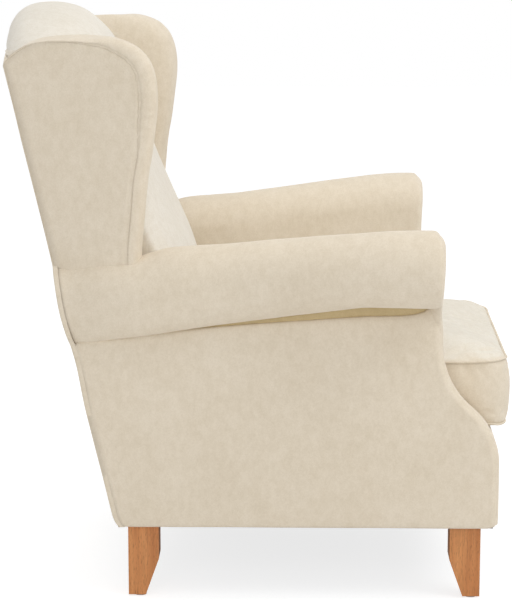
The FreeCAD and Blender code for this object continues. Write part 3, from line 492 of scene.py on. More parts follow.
# The left roll along Y: its middle, top edge, lower edge and inner-side radius
ROLL_X = [(60, 367), (110, 366.5), (185, 359.5), (285, 341.5), (385, 323), (485, 307), (585, 301),
          (645, 299), (700, 291), (776, 273)]
ROLL_TOP = [(60, 681), (140, 681), (185, 679.3), (285, 669.5), (385, 658.6), (485, 647.5),
            (540, 643.5), (575, 640.5), (600, 636), (620, 629.5), (640, 624), (700, 620),
            (776, 610.5)]
ROLL_LOW = [(60, 547), (232, 544.5), (281, 537.5), (426, 515.5), (573, 496.5), (639, 487.5),
            (734, 474), (776, 465)]
ROLL_RADIUS = [(60, 67), (185, 66), (485, 62), (645, 61), (776, 60)]

# Upper edge of the outside arm panel along Y, just under the roll
LIP = [(95, 562), (103, 556), (112, 548), (120, 538), (130, 531), (142, 526.5), (171, 522.6),
       (230, 521.5), (279, 518), (426, 508), (573, 496), (639, 489.5), (776, 470)]


def roll_at(y):
    return tuple(curve_at(line, y) for line in (ROLL_X, ROLL_TOP, ROLL_LOW, ROLL_RADIUS))


def lip_z(y):
    return curve_at(LIP, y)


def inner_x(y, z):
    """The arm's inner face: it closes in rearwards and leans out from the deck up to the roll."""
    back = y - ARM_FRONT
    at_deck = 263.0 - back * 0.05
    return at_deck + (42.0 - back * 0.1) * clamp((z - DECK) / 336.0)


# Arms: the roll and the inside of the arm are one sheet

INSIDE_STEPS, TURN_STEPS = 22, 60    # points up the inside of the arm, and over the roll
HIDDEN_Z = 292.0                     # where the inside arm's sheet starts, under the deck's top


def roll_profile(y):
    """Points (x, z) from the deck up the inside of the arm, round the roll and in under it."""
    x, top, low, radius = roll_at(y)
    middle = top - radius
    pts = []
    for k in range(INSIDE_STEPS):
        z = HIDDEN_Z + (middle - HIDDEN_Z) * k / INSIDE_STEPS
        b = smooth(420, middle, z)
        pts.append((inner_x(y, z) * (1 - b) + (x - radius) * b, z))
    for k in range(TURN_STEPS + 1):
        turn = pi - pi * k / TURN_STEPS
        pts.append((x + radius * cos(turn), middle + radius * sin(turn)))
    square = 2.0 + 2.6 * smooth(330, 740, y)    # 2 is a round underside, more is squarer
    depth = middle - low
    for k in range(1, 31):
        turn = radians(90 * k / 30)
        across = x + radius * abs(cos(turn)) ** (2 / square)
        pts.append((max(across, OUTER - 4.0 + 0.02 * (30 - k)),
                    middle - depth * abs(sin(turn)) ** (2 / square)))
    end_x, end_z = pts[-1]
    goal_x = OUTER - 4.2             # where the sheet meets the side panel
    for k in range(1, 15):
        turn = k / 14 * pi / 2
        pts.append((end_x + (goal_x - end_x) * sin(turn),
                    end_z + 12.0 * (1 - cos(turn)) * smooth(0, 60, end_x - goal_x)))
    pts.append((goal_x - 0.6, (pts[-1][1] + lip_z(y)) / 2))
    pts.append((goal_x - 1.2, lip_z(y) - 20.0))
    return pts


def normals_2d(pts):
    out = []
    for i in range(len(pts)):
        a = pts[max(0, i - 1)]
        b = pts[min(len(pts) - 1, i + 1)]
        dx, dz = b[0] - a[0], b[1] - a[1]
        size = hypot(dx, dz) or 1.0
        out.append((dz / size, -dx / size))
    return out


def roll_rows():
    """Sections of the roll and the inside arm, from the rounded front edge to the back."""
    edge, straight = 13.0, 260.0     # front rounding; length that keeps the front's shape
    turns = [radians(d) for d in (-28, 0, 18, 36, 54, 72, 90)]
    stations = [(edge * (1 - cos(a)), edge * (1 - sin(a))) for a in turns]
    stations += [(edge + 14.0 * k, 0.0) for k in range(1, 50)]
    rows = []
    for ahead, shrink in stations:
        rough_y = ARM_FRONT + ahead
        profile = roll_profile(rough_y)
        _, top, low, _ = roll_at(rough_y)
        row = []
        for (px, pz), (nx, nz) in zip(profile, normals_2d(profile)):
            fade = 1 - ahead / 120 if ahead < 120 else 0
            start = front_y(pz) + 7.0 * smooth(top - 18, top, pz) * fade
            stop = rear_y(pz, 1.2 + 4.0 * smooth(low + 3, low - 8, pz)) + rear_swell(pz)
            y = start + ahead
            if ahead > straight:
                y = (start + straight + (stop - start - straight) * (ahead - straight)
                     / (stations[-1][0] - straight))
            row.append((px + nx * shrink, min(y, stop), pz + nz * shrink))
        rows.append(row)
    return rows


# Tucks round the roll's front edge: share of the turn, depth, width
TUCKS = ((0.34, 1.0, 0.016), (0.43, 1.5, 0.018), (0.52, 1.9, 0.018), (0.61, 2.0, 0.018),
         (0.70, 1.5, 0.018), (0.80, 0.9, 0.02))


def pleat_roll(rows):
    """Tucks in the roll's front edge, where the cloth turns the corner towards the facing."""
    middle_x, top, _, radius = roll_at(ARM_FRONT)
    for ahead, row in zip((1, 0, 1, 2.5, 5, 9, 13), rows):
        fade = exp(-((ahead - 1.5) / 5.5) ** 2)
        for c in range(INSIDE_STEPS, INSIDE_STEPS + TURN_STEPS + 1):
            share = (c - INSIDE_STEPS) / TURN_STEPS
            tuck = 0.0
            for centre, deep, wide in TUCKS:
                tuck += deep * exp(-((share - centre) / wide) ** 2)
            x, y, z = row[c]
            dx, dz = middle_x - x, top - radius - z
            size = hypot(dx, dz) or 1.0
            row[c] = (x + dx / size * tuck * fade, y + 0.9 * tuck * fade,
                      z + dz / size * tuck * fade)


def body_inner(y, z):
    """Inner side of the arm's body, which lies inside the roll's sheet."""
    return inner_x(y, z) + 3.0 + 10.0 * smooth(450, 530, z)


def arm_body_rows():
    """Outside panel, S-curved front and rear edge of the arm, as sections from the base up."""
    r = 13.0                         # rounding of its upright edges
    shy = 1.2                        # its rear edge ahead of the outside back's plane
    base_z = FOOT + 0.5
    # share of the height, and how far the outer face is drawn in there
    levels = [(0.0, 2.4), (0.004, 0.7), (0.012, 0.0)]
    levels += [(0.016 + 0.96 * k / 60, 0.0) for k in range(1, 61)]
    levels += [(0.984, 0.4), (0.992, 1.2), (0.998, 2.6), (1.0, 4.2), (0.997, 5.8), (0.985, 7.6)]
    rows = []
    for share, tuck in levels:

        def height(y):
            return base_z + (lip_z(y) - base_z) * share
        zf = height(60.0)
        yf = front_y(zf) + 0.6 + foot_round(zf, FOOT_RADIUS)
        ring = []
        # outer face from the rear to the front corner
        for k in range(46):
            t = k / 45
            y0 = rear_y(zf, shy)
            z = height(y0 + (yf + r - y0) * t)
            drawn = foot_round(z, FOOT_RADIUS)
            y0 = rear_y(z, shy) + rear_swell(z) - drawn
            ring.append((OUTER - tuck, y0 + (front_y(z) + 0.6 + drawn + r - y0) * t, z))
        # front corner, front face, inner corner and inner face
        for k in range(1, 9):
            a = radians(90 * k / 8)
            ring.append((OUTER - r + r * cos(a) - tuck, yf + r - r * sin(a), zf))
        inner = body_inner(yf, zf)
        for k in range(1, 7):
            ring.append((OUTER - r - tuck + (inner + r - OUTER + r + tuck) * k / 6, yf, zf))
        for k in range(1, 7):
            a = radians(90 * k / 6)
            ring.append((inner + r - r * sin(a), yf + r - r * cos(a), zf))
        for k in range(1, 12):
            y = yf + r + (rear_y(height(700), 4.0) - yf - r) * (k / 11)
            ring.append((body_inner(y, height(y)), y, height(y)))
        rows.append(ring)
    return rows


def facing_rows():
    """Padded panel on the arm's front, from the base up round the scroll."""
    x0, top, _, radius = roll_at(ARM_FRONT)
    middle = top - radius
    shy = 6.5                        # its edge inside the arm's own
    reach = radius - shy
    steps = 26
    levels = [z for z in (140 + 9.0 * k for k in range(46)) if z < middle - 60]
    levels += [middle + reach * sin(radians(a)) for a in range(-62, 91, 4)]
    neck_line = [(470, 0), (495, 1.5), (510, 6), (522, 14), (532, 28), (541, 46), (548, 62)]
    rows = []
    for z in levels:
        in_scroll = z > middle - radius + shy
        neck = curve_at(neck_line, z)
        left = inner_x(ARM_FRONT, z) + shy
        right = OUTER - shy
        right += neck
        if in_scroll:
            half = sqrt(max(0.0, reach ** 2 - (z - middle) ** 2))
            right = max(right, x0 + half) if z < middle - 30 else x0 + half
            b = smooth(middle - 40, middle, z)
            left = left * (1 - b) + (x0 - half) * b if z < middle else x0 - half
        width = max(right - left, 0.5)
        yf = (front_y(z) + 7.0 * smooth(top - 22, top, z) + foot_round(z, FOOT_RADIUS)
              + 2.2 * smooth(520, 560, z))
        row = [(left, yf + 12, z)]
        for k in range(steps + 1):
            x = left + width * (0.5 - 0.5 * cos(pi * (k / steps)))
            if z > middle - radius * 0.2:
                edge = min(x - left, right - x, reach - hypot(x - x0, z - middle))
            else:
                edge = min(x - left, right - x, (z - FOOT) * 1.2, reach)
            puff = 4.2 * (1 - (1 - clamp(edge / 13.0)) ** 2.4) - 1.5
            row.append((x, yf - puff, z))
        for s, behind in ((0.0, 4.0), (0.12, 8.0), (0.42, 12.5), (0.8, 17.0)):
            row.append((right if in_scroll else right - neck * s, yf + behind, z))
        rows.append(row + [(row[-1][0] - 5.0, yf + 21.0, z)])
    return rows


# Wings

WING_ROOT_X = 304.0
WING_PIVOT = rear_y(552.5)
WING_LINE = [(650, 540), (648.5, 634), (643.5, 690), (637, 760), (628, 811), (621.5, 862),
             (618.5, 898), (620.5, 932), (628, 958), (640, 974), (656, 986), (688, 1000.5),
             (728, 1004), (775, 1003), (799, 1000.5), (822, 995.5), (842, 986), (856, 974)]


def wing_ring(count):
    """The wing's outline in its own plane, as (distance along it, height)."""
    line = rounded(WING_LINE, 10)
    line += [(rear_y(z, 1.5), z) for z in (960, 900, 800, 700, 620, 560, 540)]
    flat = [((y - WING_PIVOT) / cos(SPLAY), z) for y, z in line]
    return resample(flat, count)


def wing_point(along, across, z):
    """From the wing's plane to the drawing frame; across runs from the outer face inwards."""
    x = WING_ROOT_X - along * sin(SPLAY) - across * cos(SPLAY)
    y = WING_PIVOT + along * cos(SPLAY) - across * sin(SPLAY)
    return (x, y, z)


def wing_spine(a, z):
    """Nearest point of the line that runs up inside the wing."""
    low = ((717 - WING_PIVOT) / cos(SPLAY), 625.0)
    high = ((741 - WING_PIVOT) / cos(SPLAY), 905.0)
    run, rise = high[0] - low[0], high[1] - low[1]
    t = clamp(((a - low[0]) * run + (z - low[1]) * rise) / (run * run + rise * rise))
    return low[0] + run * t, low[1] + rise * t


# How far the rounded top edge is drawn in, across the wing
WING_TOP = [(-1, 4.0), (2, 2.5), (8, 0.6), (18, -1.6), (32, -3.6), (44, -4.9), (54, -5.2),
            (61, -2.4), (66, 3.0), (70, 12.0)]

# Place across the wing from its outer face, then how far the outline is drawn in there (below
# zero: swollen out), or else the share of the way to the spine
WING_SECTION = [(-1.6, 0, 0.93), (-1.5, 0, 0.75), (-1.3, 0, 0.55), (-0.9, 0, 0.36)]
WING_SECTION += [(across, inward, 0) for across, inward in (
    (-0.6, 24), (-0.3, 16), (-0.2, 12.6), (1.3, 11.4), (0.2, 10.2), (0.0, 8.0), (0.9, 6.9),
    (-0.1, 5.8), (-0.6, 3.0), (-0.4, 0.0), (0.3, -3.6), (1.6, -7.4), (3.8, -11.2), (7.4, -14.4),
    (12.5, -16.6), (19.0, -17.4), (27.0, -16.6), (35.0, -14.2), (43.0, -10.6), (51.0, -6.2),
    (58.0, -1.6), (63.0, 3.4), (66.4, 9.5), (68.4, 17), (69.6, 26))]
WING_SECTION += [(70.6, 0, 0.36), (71.6, 0, 0.55), (72.2, 0, 0.75), (72.4, 0, 0.93)]


def wing_rows():
    ring = wing_ring(320)
    rows = []
    for across, inward, share in WING_SECTION:
        row = []
        for k, (a, z) in enumerate(ring):
            sa, sz = wing_spine(a, z)
            run, rise = sa - a, sz - z
            size = hypot(run, rise)
            y0 = WING_PIVOT + a * cos(SPLAY)
            rear = smooth(0, 30, rear_y(z, 1.5) - y0)
            front = smooth(728, 640, y0)
            swell = inward if inward > 0 else inward * front * rear
            if not share:
                swell += (1 - front) * rear * curve_at(WING_TOP, across)
            # the border's seam grows fainter low down and towards the rear
            if 0 < inward < 13 and across < 6:
                swell *= ((0.15 + 0.85 * rear) * (0.3 + 0.7 * smooth(790, 890, z))
                          * (0.12 + 0.88 * smooth(800, 640, y0)))
            step = max(swell / size, share) if share else swell / size
            # small gathers where the border turns over the brow
            curve = smooth(770, 860, z) * (1 - smooth(680, 730, y0)) * rear
            gather = exp(-((across - 3) / 4.5) ** 2) * curve
            step -= gather * (1.0 * sin(k * 2.05) + 0.7 * sin(k * 1.31 + 1.3)) / size
            flush = across * rear + min(across, 0.0) * (1 - rear) if across < 6 else across
            row.append(wing_point(a + run * step, flush, z + rise * step))
        rows.append(row)
    return rows


# Back

def crest_drop(x):
    return 72.0 * (x / 270.0) ** 2


def back_arch(x):
    """Height of the outside back's arched top edge."""
    return 994.6 - 38.6 * (x / 282.9) ** 2


def back_line(x):
    """The back's outline at x from the deck up the inside face, over the crest and down behind."""
    drop = crest_drop(x)
    arch = back_arch(x)
    face = 24.0 * (x / 270.0) ** 2 + 16.0 * smooth(196, 262, abs(x)) ** 2
    slide = -drop * (170.0 / 430.0)

    def tail(z, depth):
        return rear_y(z, depth + (8.5 - depth) * smooth(arch + 3, arch - 7, z)), z
    pts = [(522 + face, 286), (522 + face, 360), (524 + face, 430), (529 + face, 490),
           (541 + face, 555), (564 + face, 620), (591.5 + face, 682), (620 + face, 748),
           (645 + face * 0.9, 812), (668 + face * 0.8 + slide * 0.5, 880 - drop * 0.3)]
    pts += [(690 + face * 0.7 + slide, 946 - drop), (706 + face * 0.6 + slide, 986 - drop),
            (727 + face * 0.5 + slide, 1013 - drop),
            (759 + face * 0.3 + slide * 0.9, 1037.5 - drop), (790 + slide * 0.8, 1047.5 - drop),
            (819 + slide * 0.65, 1050 - drop), (846 + slide * 0.6, 1047 - drop),
            (864 + slide * 0.6, 1039 - drop), tail(1026 - drop, 7.0)]
    pts += [tail(z - drop, depth) for z, depth in ((1013, -0.6), (1007, -1.8), (1001, -2.0),
                                                   (995, -2.0), (989, -2.0), (983, -2.0),
                                                   (974, -2.0), (958, 6.0))]
    return rounded(pts, 7)


def back_rows():
    full = 262.0                     # half width that back_line is drawn for
    half_line = [(286, 246), (480, 244), (560, 245), (640, 258), (700, 263), (1060, 263)]
    rows = []
    for n in range(-36, 37):
        x = full * n / 36
        rows.append([(x * curve_at(half_line, z) / full, y, z) for y, z in back_line(x)])

    def wall(row, way):
        """Rounds the side over and carries it back between the arm and the wing."""
        for out, behind in ((2.5, 4.0), (4.0, 10.0), (4.6, 24.0), (4.8, 60.0), (4.8, 110.0)):
            yield [(x + way * out, min(y + behind, rear_y(z, 8.0)), z) for x, y, z in row]
    return list(wall(rows[0], -1))[::-1] + rows + list(wall(rows[-1], 1))


for side, hand in ((1, "left"), (-1, "right")):
    rows = roll_rows()
    pleat_roll(rows)
    roll = skin("arm_roll_" + hand, rows, cap_last=True, side=side)
    ruffle(roll, 0.0009, 0.09, 3.0 * side)
    dress(roll, nodes=["arm_cover_" + hand, "arm_pad_" + hand])
    roll.data.materials.append(painted_recess_shade)
    # painted shade: the faces in the hollow between the roll and the side panel take a darker, more
    # saturated cloth that stands in for the shade falling there
    for p in roll.data.polygons:
        x, y, z = abs(p.center.x) * 1000, p.center.y * 1000 + MIDDLE, p.center.z * 1000
        low = roll_at(y)[2]
        p.material_index = int(OUTER - 12 < x < OUTER + 1 and z < low + 15 and y < 690)
    body = skin("arm_side_" + hand, arm_body_rows(), closed=True, side=side)
    ruffle(body, 0.0005, 0.12, 5.0 * side)
    dress(body, nodes=["outside_arm_cover_" + hand])
    facing = skin("arm_front_" + hand, facing_rows(), side=side)
    dress(facing, nodes=["arm_facing_" + hand])
    wing = skin("wing_" + hand, wing_rows(), closed=True, side=side)
    ruffle(wing, 0.0007, 0.08, 7.0 * side)
    dress(wing, nodes=["wing_pad_" + hand, "outside_wing_cover_" + hand,
                       "inside_wing_cover_" + hand, "wing_border_" + hand])

back = skin("back_inside", back_rows())
ruffle(back, 0.0014, 0.12, 2.0)
dress(back, back_painted_light, nodes=["inside_back_cover", "inside_back_pad"])


# Outside back, front border, deck and dust cover

def back_half(z):
    """Half width of the outside back: side panels, rolls' rear ends, wings, then the crest."""
    x, top, low, radius = roll_at(770)
    if z < low:
        return OUTER - 1.0
    middle = top - radius
    if z < middle:
        return min(x + radius - 1.5, OUTER - 1.0 + (z - low) * 0.6)
    wing = WING_ROOT_X - (rear_y(z) - WING_PIVOT) * tan(SPLAY) - 1.5
    if z < top:
        return max(wing, x + sqrt(radius ** 2 - (z - middle) ** 2) - 1.5)
    return wing


def outside_back_row(half, z_at):
    """One row of the outside back, its ends turned forward round the board's edges."""
    row = []
    for k in range(-44, 45):
        t = k / 44
        x = half * copysign(1 - (1 - abs(t)) ** 1.25, t)
        z = z_at(x)
        edge = min(half - abs(x), (z - FOOT) * 1.2, back_arch(x) - z + 2.0)
        out = 0.5 + 2.6 * (1 - (1 - clamp(edge / 60.0)) ** 2)
        row.append((x, rear_y(z) + rear_swell(z) - foot_round(z, 6.0) + out, z))
    turned = []
    for (x, y, z), way in ((row[0], -1), (row[-1], 1)):
        turned.append([(x + way * 0.9, y - 0.8, z), (x + way * 1.2, y - 2.6, z),
                       (x + way * 1.2, y - 9.0, z)])
    return turned[0][::-1] + row + turned[1]


def outside_back_rows():
    """Level rows to the arch's ends, rows that rise into the arch, then the lip over the board."""
    arch_foot = 956
    levels = [134.3, 136, 139] + [146 + 10 * k for k in range(33)]
    levels += [472 + 5 * k for k in range(30)] + [620 + 10 * k for k in range(1, 33)]
    levels += [945, 950, arch_foot]
    rows = [outside_back_row(back_half(level), lambda x: level) for level in levels]
    for n in range(1, 15):
        rows.append(outside_back_row(
            back_half(arch_foot), lambda x: arch_foot + (back_arch(x) - arch_foot) * n / 14))
    top_row = rows[-1]
    for ahead, above in ((0.6, 1.2), (2.4, 2.2), (5.5, 2.6), (9.0, 2.2), (12.0, 0.5), (13.0, -6.0)):
        rows.append([(x, y - ahead, z + above) for x, y, z in top_row])
    return rows


outside_back = skin("back_outside", outside_back_rows())
ruffle(outside_back, 0.0008, 0.16, 11.0)
dress(outside_back, nodes=["outside_back_cover"])


def border_rows():
    """Front border, from under the base up over its top edge."""
    half, side_round = 267.5, 12.0
    turns = [radians(a) for a in (15, 30, 45, 60, 75, 90)]
    rows = []
    for n in range(61):
        x = -half + 2 * half * n / 60
        swell = 1 - (1 - min(half - abs(x), side_round) / side_round) ** 2
        profile = [(13.5, 134.6), (6.0, 134.3), (2.2, 135.0), (0.8, 137.5)]
        profile += [(0.6 - 2.6 * swell * sin(pi * k / 14) ** 0.5, 140 + 148 * k / 14)
                    for k in range(15)]
        profile += [(14 - 13.4 * cos(a), 290 + 13.2 * sin(a)) for a in turns]
        profile += [(18, 303.4), (26, 303.4)]
        # wider at the top, where the arm's rounded corner draws back from it
        rows.append([(x * (1 + 0.022 * smooth(262, 296, z)), y, z) for y, z in profile])
    return rows


def deck_rows():
    """Deck cloth, drawn down a little along its edges."""
    rows = []
    for n in range(49):
        y = 16.0 + 520.0 * n / 48
        half = inner_x(y, DECK) + 3.0
        row = []
        for k in range(-30, 31):
            x = half * k / 30
            edge = min(half - abs(x), y - 10.0, 540.0 - y)
            row.append((x, y, DECK - 6.0 * (1 - clamp(edge / 34.0)) ** 2 - 0.25))
        rows.append(row)
    return rows


border = skin("front_border", border_rows())
ruffle(border, 0.0007, 0.1, 13.0)
dress(border, nodes=["front_border_cover", "front_border_pad"])

deck = skin("seat_deck", deck_rows())
dress(deck, slot="deck_cloth", nodes=["deck_cover", "deck_pad"])


def dust_sheet():
    """Lining tacked under the base, with its corners cut out round the legs, and its area."""

    def four(start, length):
        return [start + length * k / 4 for k in range(5)]
    xs = [-319.0, *four(-306.5, 55.8), *(-230 + 20 * k for k in range(24)),
          *four(250.7, 55.8), 319.0]
    ys = [3.0, 12.0, *four(21.5, 56.0), *(90 + 20.4 * k for k in range(26)),
          *four(600.5, 56.0), 668.0]
    verts, faces = [], []
    for y in ys:
        for x in xs:
            u, v = (x + 319) / 638, (y - 3) / 665
            sag = 0.0
            if 0 < u < 1 and 0 < v < 1:
                sag = 3.2 * (sin(pi * u) * sin(pi * v)) ** 0.7
            crease = 0.25 * noise.noise(Vector((x / 30, y / 30, 0)))
            verts.append(at(x, y, 134.7 - sag + crease))
    flat = 0.0
    for j in range(len(ys) - 1):
        for i in range(len(xs) - 1):
            x, y = (xs[i] + xs[i + 1]) / 2, (ys[j] + ys[j + 1]) / 2
            if 250.5 < abs(x) < 306.8 and (21 < y < 78 or 600 < y < 657):
                continue
            flat += (xs[i + 1] - xs[i]) * (ys[j + 1] - ys[j]) / 1e6
            a = j * len(xs) + i
            faces.append((a, a + 1, a + 1 + len(xs), a + len(xs)))
    return mesh_object("dust_lining_sheet", verts, faces), flat


lining, lining_area = dust_sheet()
dress(lining, slot="dust_cloth", nodes=["dust_cover"])


def staples():
    """Wire staples along the lining's four edges, each a little askew."""
    places = []
    for k in range(13):
        places += [(-288 + 48 * k, 7.0, 0), (-288 + 48 * k, 663.0, 0)]
    for k in range(13):
        places += [(-314.0, 40 + 49 * k, 1), (314.0, 40 + 49 * k, 1)]
    crown = ((-5.0, 0.9), (-4.6, 0.2), (-3.8, 0.0), (3.8, 0.0), (4.6, 0.2), (5.0, 0.9))
    verts, faces = [], []
    for n, (x, y, turned) in enumerate(places):
        turn = 0.12 * sin(n * 2.3) + turned * pi / 2
        ca, sa = cos(turn), sin(turn)
        base = len(verts)
        for u, rise in crown:
            for across in (-0.6, 0.6):
                for lift in (0.0, 0.5):
                    verts.append(at(x + u * ca - across * sa, y + u * sa + across * ca,
                                    133.9 + rise + lift))
        for s in range(5):
            a, b = base + 4 * s, base + 4 * s + 4
            for p, q in ((0, 1), (1, 3), (3, 2), (2, 0)):
                faces.append((a + p, a + q, b + q, b + p))
        faces.append((base, base + 1, base + 3, base + 2))
        faces.append((base + 20, base + 21, base + 23, base + 22))
    return mesh_object("lining_staples", verts, faces)


dress(staples(), slot="zinc_steel")


# Seat cushion

SEAM_LOW, SEAM_HIGH = 311.9, 424.9


def cushion_ring(count=240):
    """The cushion's plan at its seams: rounded corners, the sides a little drawn in or out."""
    half_front, half_rear, front, rear, r = 256.0, 228.0, -23.5, 505.0, 42.0
    corners = [((half_front - r, front + r), -90), ((half_rear - r, rear - r), 0),
               ((-half_rear + r, rear - r), 90), ((-half_front + r, front + r), 180)]
    draws = [5.0, 0.0, 5.0, -1.0]    # how far the side after each corner is drawn in
    pts = []
    for i, ((cx, cy), start) in enumerate(corners):
        for k in range(13):
            a = radians(start + 90 * k / 12)
            pts.append((cx + r * cos(a), cy + r * sin(a)))
        (nx, ny), next_start = corners[(i + 1) % 4]
        p = pts[-1]
        a = radians(next_start)
        dx, dy = nx + r * cos(a) - p[0], ny + r * sin(a) - p[1]
        size = hypot(dx, dy)
        power = 1.3 if draws[i] > 0 else 0.9
        for k in range(1, 30):
            t = k / 30
            draw = draws[i] * sin(pi * t) ** power
            pts.append((p[0] + dx * t - dy / size * draw, p[1] + dy * t + dx / size * draw))
    return resample(pts, count)


def seam_lift(x, y):
    """The upper seam stands up a little at the front corners and sinks between them."""
    corner = exp(-(((abs(x) - 250) / 60) ** 2 + ((y + 20) / 60) ** 2))
    return 3.4 * corner - 2.2 * (1 - corner) * smooth(520, 100, y)


def seam_dip(y):
    """The lower seam hangs a little where the cushion stands ahead of the base."""
    return 4.0 * smooth(8, -12, y)


def cushion_rows():
    """Flat underside, boxing between the seams, crowned top."""
    ring = cushion_ring()
    middle_x, middle_y = 0.0, 241.0
    crown, shoulder = 17.5, 9.5      # heights that make up the top's curve

    def scaled(s, height):
        return [(middle_x + (x - middle_x) * s, middle_y + (y - middle_y) * s, height(x, y))
                for x, y in ring]
    rows = [scaled(s, lambda x, y: 304.6 - seam_dip(y)) for s in (0.04, 0.3, 0.55, 0.75, 0.86)]
    for inset, z in ((16.0, 304.9), (9.0, 306.0), (4.0, 308.2), (1.2, 310.4)):
        rows.append([(x, y, z - seam_dip(y)) for x, y in inset_ring(ring, inset)])
    for k in range(13):
        t = k / 12
        out = 5.2 * (1 - (2 * t - 1) ** 2) ** 0.6
        rows.append([(x, y, (SEAM_LOW - seam_dip(y)) * (1 - t) + (SEAM_HIGH + seam_lift(x, y)) * t)
                     for x, y in inset_ring(ring, -out)])
    for s in (0.994, 0.982, 0.965, 0.945, 0.915, 0.88, 0.83, 0.77, 0.70, 0.6, 0.48, 0.34, 0.2, 0.05):
        rows.append(scaled(s, lambda x, y: SEAM_HIGH + seam_lift(x, y) * s
                           + crown * (1 - s ** 13) + shoulder * (1 - s ** 2.2)))
    return rows


def inflate(ob, voxel, pinned, pressure, cap):
    """Cloth run of a closed form: the pinned points stay, the rest swells by at most cap metres."""
    frames = 20
    remesh = ob.modifiers.new("remesh", "REMESH")
    remesh.mode = "VOXEL"
    remesh.voxel_size = voxel
    apply_modifiers(ob)
    group = ob.vertex_groups.new(name="held")
    for v in ob.data.vertices:
        weight = pinned(v.co)
        if weight > 0:
            group.add([v.index], weight, "REPLACE")
    start = [v.co.copy() for v in ob.data.vertices]
    cloth = ob.modifiers.new("cloth", "CLOTH")
    settings = cloth.settings
    settings.quality = 5
    settings.mass = 0.3
    settings.tension_stiffness = settings.compression_stiffness = 18
    settings.shear_stiffness = 8
    settings.bending_stiffness = 1.5
    settings.use_pressure = True
    settings.uniform_pressure_force = pressure
    settings.effector_weights.gravity = 0
    settings.vertex_group_mass = "held"
    settings.shrink_min = -0.012
    cloth.point_cache.frame_start = 1
    cloth.point_cache.frame_end = frames
    for f in range(1, frames + 1):
        scene.frame_set(f)
    apply_modifiers(ob)
    for v, s in zip(ob.data.vertices, start):
        move = v.co - s
        if move.length > cap:
            v.co = s + move * (cap / move.length)
    scene.frame_set(1)
    subdivide = ob.modifiers.new("subdivide", "SUBSURF")
    subdivide.levels = subdivide.render_levels = 1
    apply_modifiers(ob)
    ob.vertex_groups.clear()


def near_seam(co):
    """Weight that holds the underside and both seams during the cloth run."""
    x, y, z = co.x * 1000, co.y * 1000 + MIDDLE, co.z * 1000
    if z < 306.0:
        return 1.0
    low, high = abs(z - SEAM_LOW + seam_dip(y)), abs(z - SEAM_HIGH - seam_lift(x, y))
    if min(low, high) > 4.5:
        return 0.0
    inside = min(257.5 - abs(x) - (y + 22.5) * 0.053, y + 25.0, 506.0 - y)
    return 1.0 if inside < 11.0 else 0.0


cushion = skin("cushion_body", cushion_rows(), closed=True)
ruffle(cushion, 0.0011, 0.07, 17.0)
inflate(cushion, 0.0052, near_seam, 4.0, 0.007)
dress(cushion, seat_painted_top_light, body="seat_cushion", nodes=["cushion_core", "cushion_cover"])

for name, height, lift in (("cushion_welt_low", SEAM_LOW, 0.0),
                           ("cushion_welt_high", SEAM_HIGH, 1.0)):
    line = []
    for x, y in inset_ring(cushion_ring(420), -0.6):
        wobble = 0.25 * noise.noise(Vector((x / 22, y / 22, height)))
        line.append(at(x, y, height + lift * seam_lift(x, y) - (1 - lift) * seam_dip(y) + wobble))
    welt = tube(name, line, WELT_RADIUS)
    nodes = ["cushion_piping"] if lift else []
    dress(welt, body="seat_cushion", slot="piping", nodes=nodes)


# Zip in the cushion's rear boxing

def boxes(name, places):
    """One piece of upright boxes, each given as (x0, x1, y0, y1, z0, z1)."""
    sides = ((0, 1, 3, 2), (4, 6, 7, 5), (0, 4, 5, 1), (2, 3, 7, 6), (0, 2, 6, 4), (1, 5, 7, 3))
    verts, faces = [], []
    for x0, x1, y0, y1, z0, z1 in places:
        base = len(verts)
        verts += [at(x, y, z) for x in (x0, x1) for y in (y0, y1) for z in (z0, z1)]
        faces += [tuple(base + i for i in side) for side in sides]
    return mesh_object(name, verts, faces, False)


ZIP_HALF, STOP_X = 193, 187.0        # the tape's half length, and where the end stops stand
TAPE_Y, TEETH_Y = 510.6, 511.4       # inner faces of the tape and of the teeth

tape = boxes("zip_tape_pair", [(-ZIP_HALF, ZIP_HALF, TAPE_Y, outer, low, high) for outer, low, high
                               in ((511.7, 356.3, 366.6), (511.7, 370.0, 380.3),
                                   (TEETH_Y, 366.6, 370.0))])
dress(tape, body="seat_cushion", slot="zip_tape", nodes=["zip_tape_and_chain"])

bits = []
for k in range(142):
    x = -184.5 + k * 2.5
    shift = 0.9 if k % 2 else -0.9
    bits.append((x, x + 1.5, TEETH_Y, 513.2, 366.2 + shift, 370.4 + shift))
for way in (-1, 1):
    bits.append((way * STOP_X - 1.5, way * STOP_X + 1.5, TEETH_Y, 513.3, 365.6, 371.0))
dress(boxes("zip_teeth", bits), body="seat_cushion", slot="zip_brass")


# Camera, floor and light

focal_pixels, picture_pixels, sensor = 2223.2, 600, 36
yaw, pitch = radians(1.078), radians(11.141)
camera = bpy.data.objects.new("camera", bpy.data.cameras.new("camera"))
scene.collection.objects.link(camera)
camera.location = (-4.150, -0.0713, 1.3044)
look = Vector((cos(pitch) * cos(yaw), cos(pitch) * sin(yaw), -sin(pitch)))
camera.rotation_euler = look.to_track_quat("-Z", "Y").to_euler()
camera.data.lens = focal_pixels / picture_pixels * sensor
camera.data.sensor_width = sensor
camera.data.clip_end = 60
bpy.context.scene.camera = camera


def math_node(tree, operation, a, b):
    m = tree.nodes.new("ShaderNodeMath")
    m.operation = operation
    tree.links.new(a, m.inputs[0])
    if isinstance(b, float):
        m.inputs[1].default_value = b
    else:
        tree.links.new(b, m.inputs[1])
    return m.outputs[0]


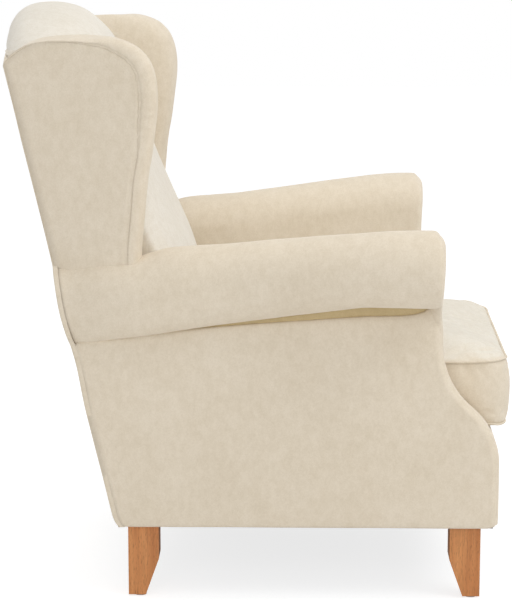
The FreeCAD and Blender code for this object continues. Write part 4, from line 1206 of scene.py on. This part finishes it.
# The floor glows for the camera alone, so that it looks white without lighting the chair
floor_glow = 0.76
floor = mesh_object("floor", [(-9, -9, 0), (9, -9, 0), (9, 9, 0), (-9, 9, 0)], [(0, 1, 2, 3)],
                    False)
floor_white, tree, shader = new_material("floor_white")
path = tree.nodes.new("ShaderNodeLightPath").outputs
tone = mix(tree, "MIX", path["Is Camera Ray"], grey(0.88), grey(0.42))
tree.links.new(tone, shader.inputs["Base Color"])
put(shader, Roughness=0.9, Specular_IOR_Level=0.1, Emission_Color=(1, 1, 1, 1))
tree.links.new(math_node(tree, "MULTIPLY", path["Is Camera Ray"], floor_glow),
               shader.inputs["Emission Strength"])
floor.data.materials.append(floor_white)

# The world is white where it is seen, and dimmer as a light
world = bpy.data.worlds.new("studio")
scene.world = world
world.use_nodes = True
tree = world.node_tree
tree.nodes.clear()
path = tree.nodes.new("ShaderNodeLightPath").outputs
seen = math_node(tree, "MAXIMUM", path["Is Camera Ray"], path["Is Glossy Ray"])
seen = math_node(tree, "MAXIMUM", seen, path["Is Transmission Ray"])
blend = tree.nodes.new("ShaderNodeMixShader")
tree.links.new(seen, blend.inputs[0])
for socket, colour, strength in ((1, (0.98, 0.99, 1.0, 1), 0.58), (2, (1, 1, 1, 1), 1.0)):
    sky = tree.nodes.new("ShaderNodeBackground")
    put(sky, Color=colour, Strength=strength)
    tree.links.new(sky.outputs[0], blend.inputs[socket])
tree.links.new(blend.outputs[0], tree.nodes.new("ShaderNodeOutputWorld").inputs["Surface"])


def lamp(name, place, target, size, power):
    data = bpy.data.lights.new(name, "AREA")
    data.shape = "RECTANGLE"
    data.size, data.size_y = size
    data.energy = power
    ob = bpy.data.objects.new(name, data)
    ob.location = place
    ob.rotation_euler = (Vector(target) - Vector(place)).to_track_quat("-Z", "Y").to_euler()
    scene.collection.objects.link(ob)


lamp("key", (-0.9, -2.4, 3.3), (0, 0, 0.5), (2.6, 2.0), 56)
lamp("side", (-4.4, 0.6, 2.0), (0, 0, 0.5), (3.0, 2.4), 40)
lamp("top", (0.8, 0.5, 3.6), (0, 0, 0.6), (3.0, 3.0), 22)
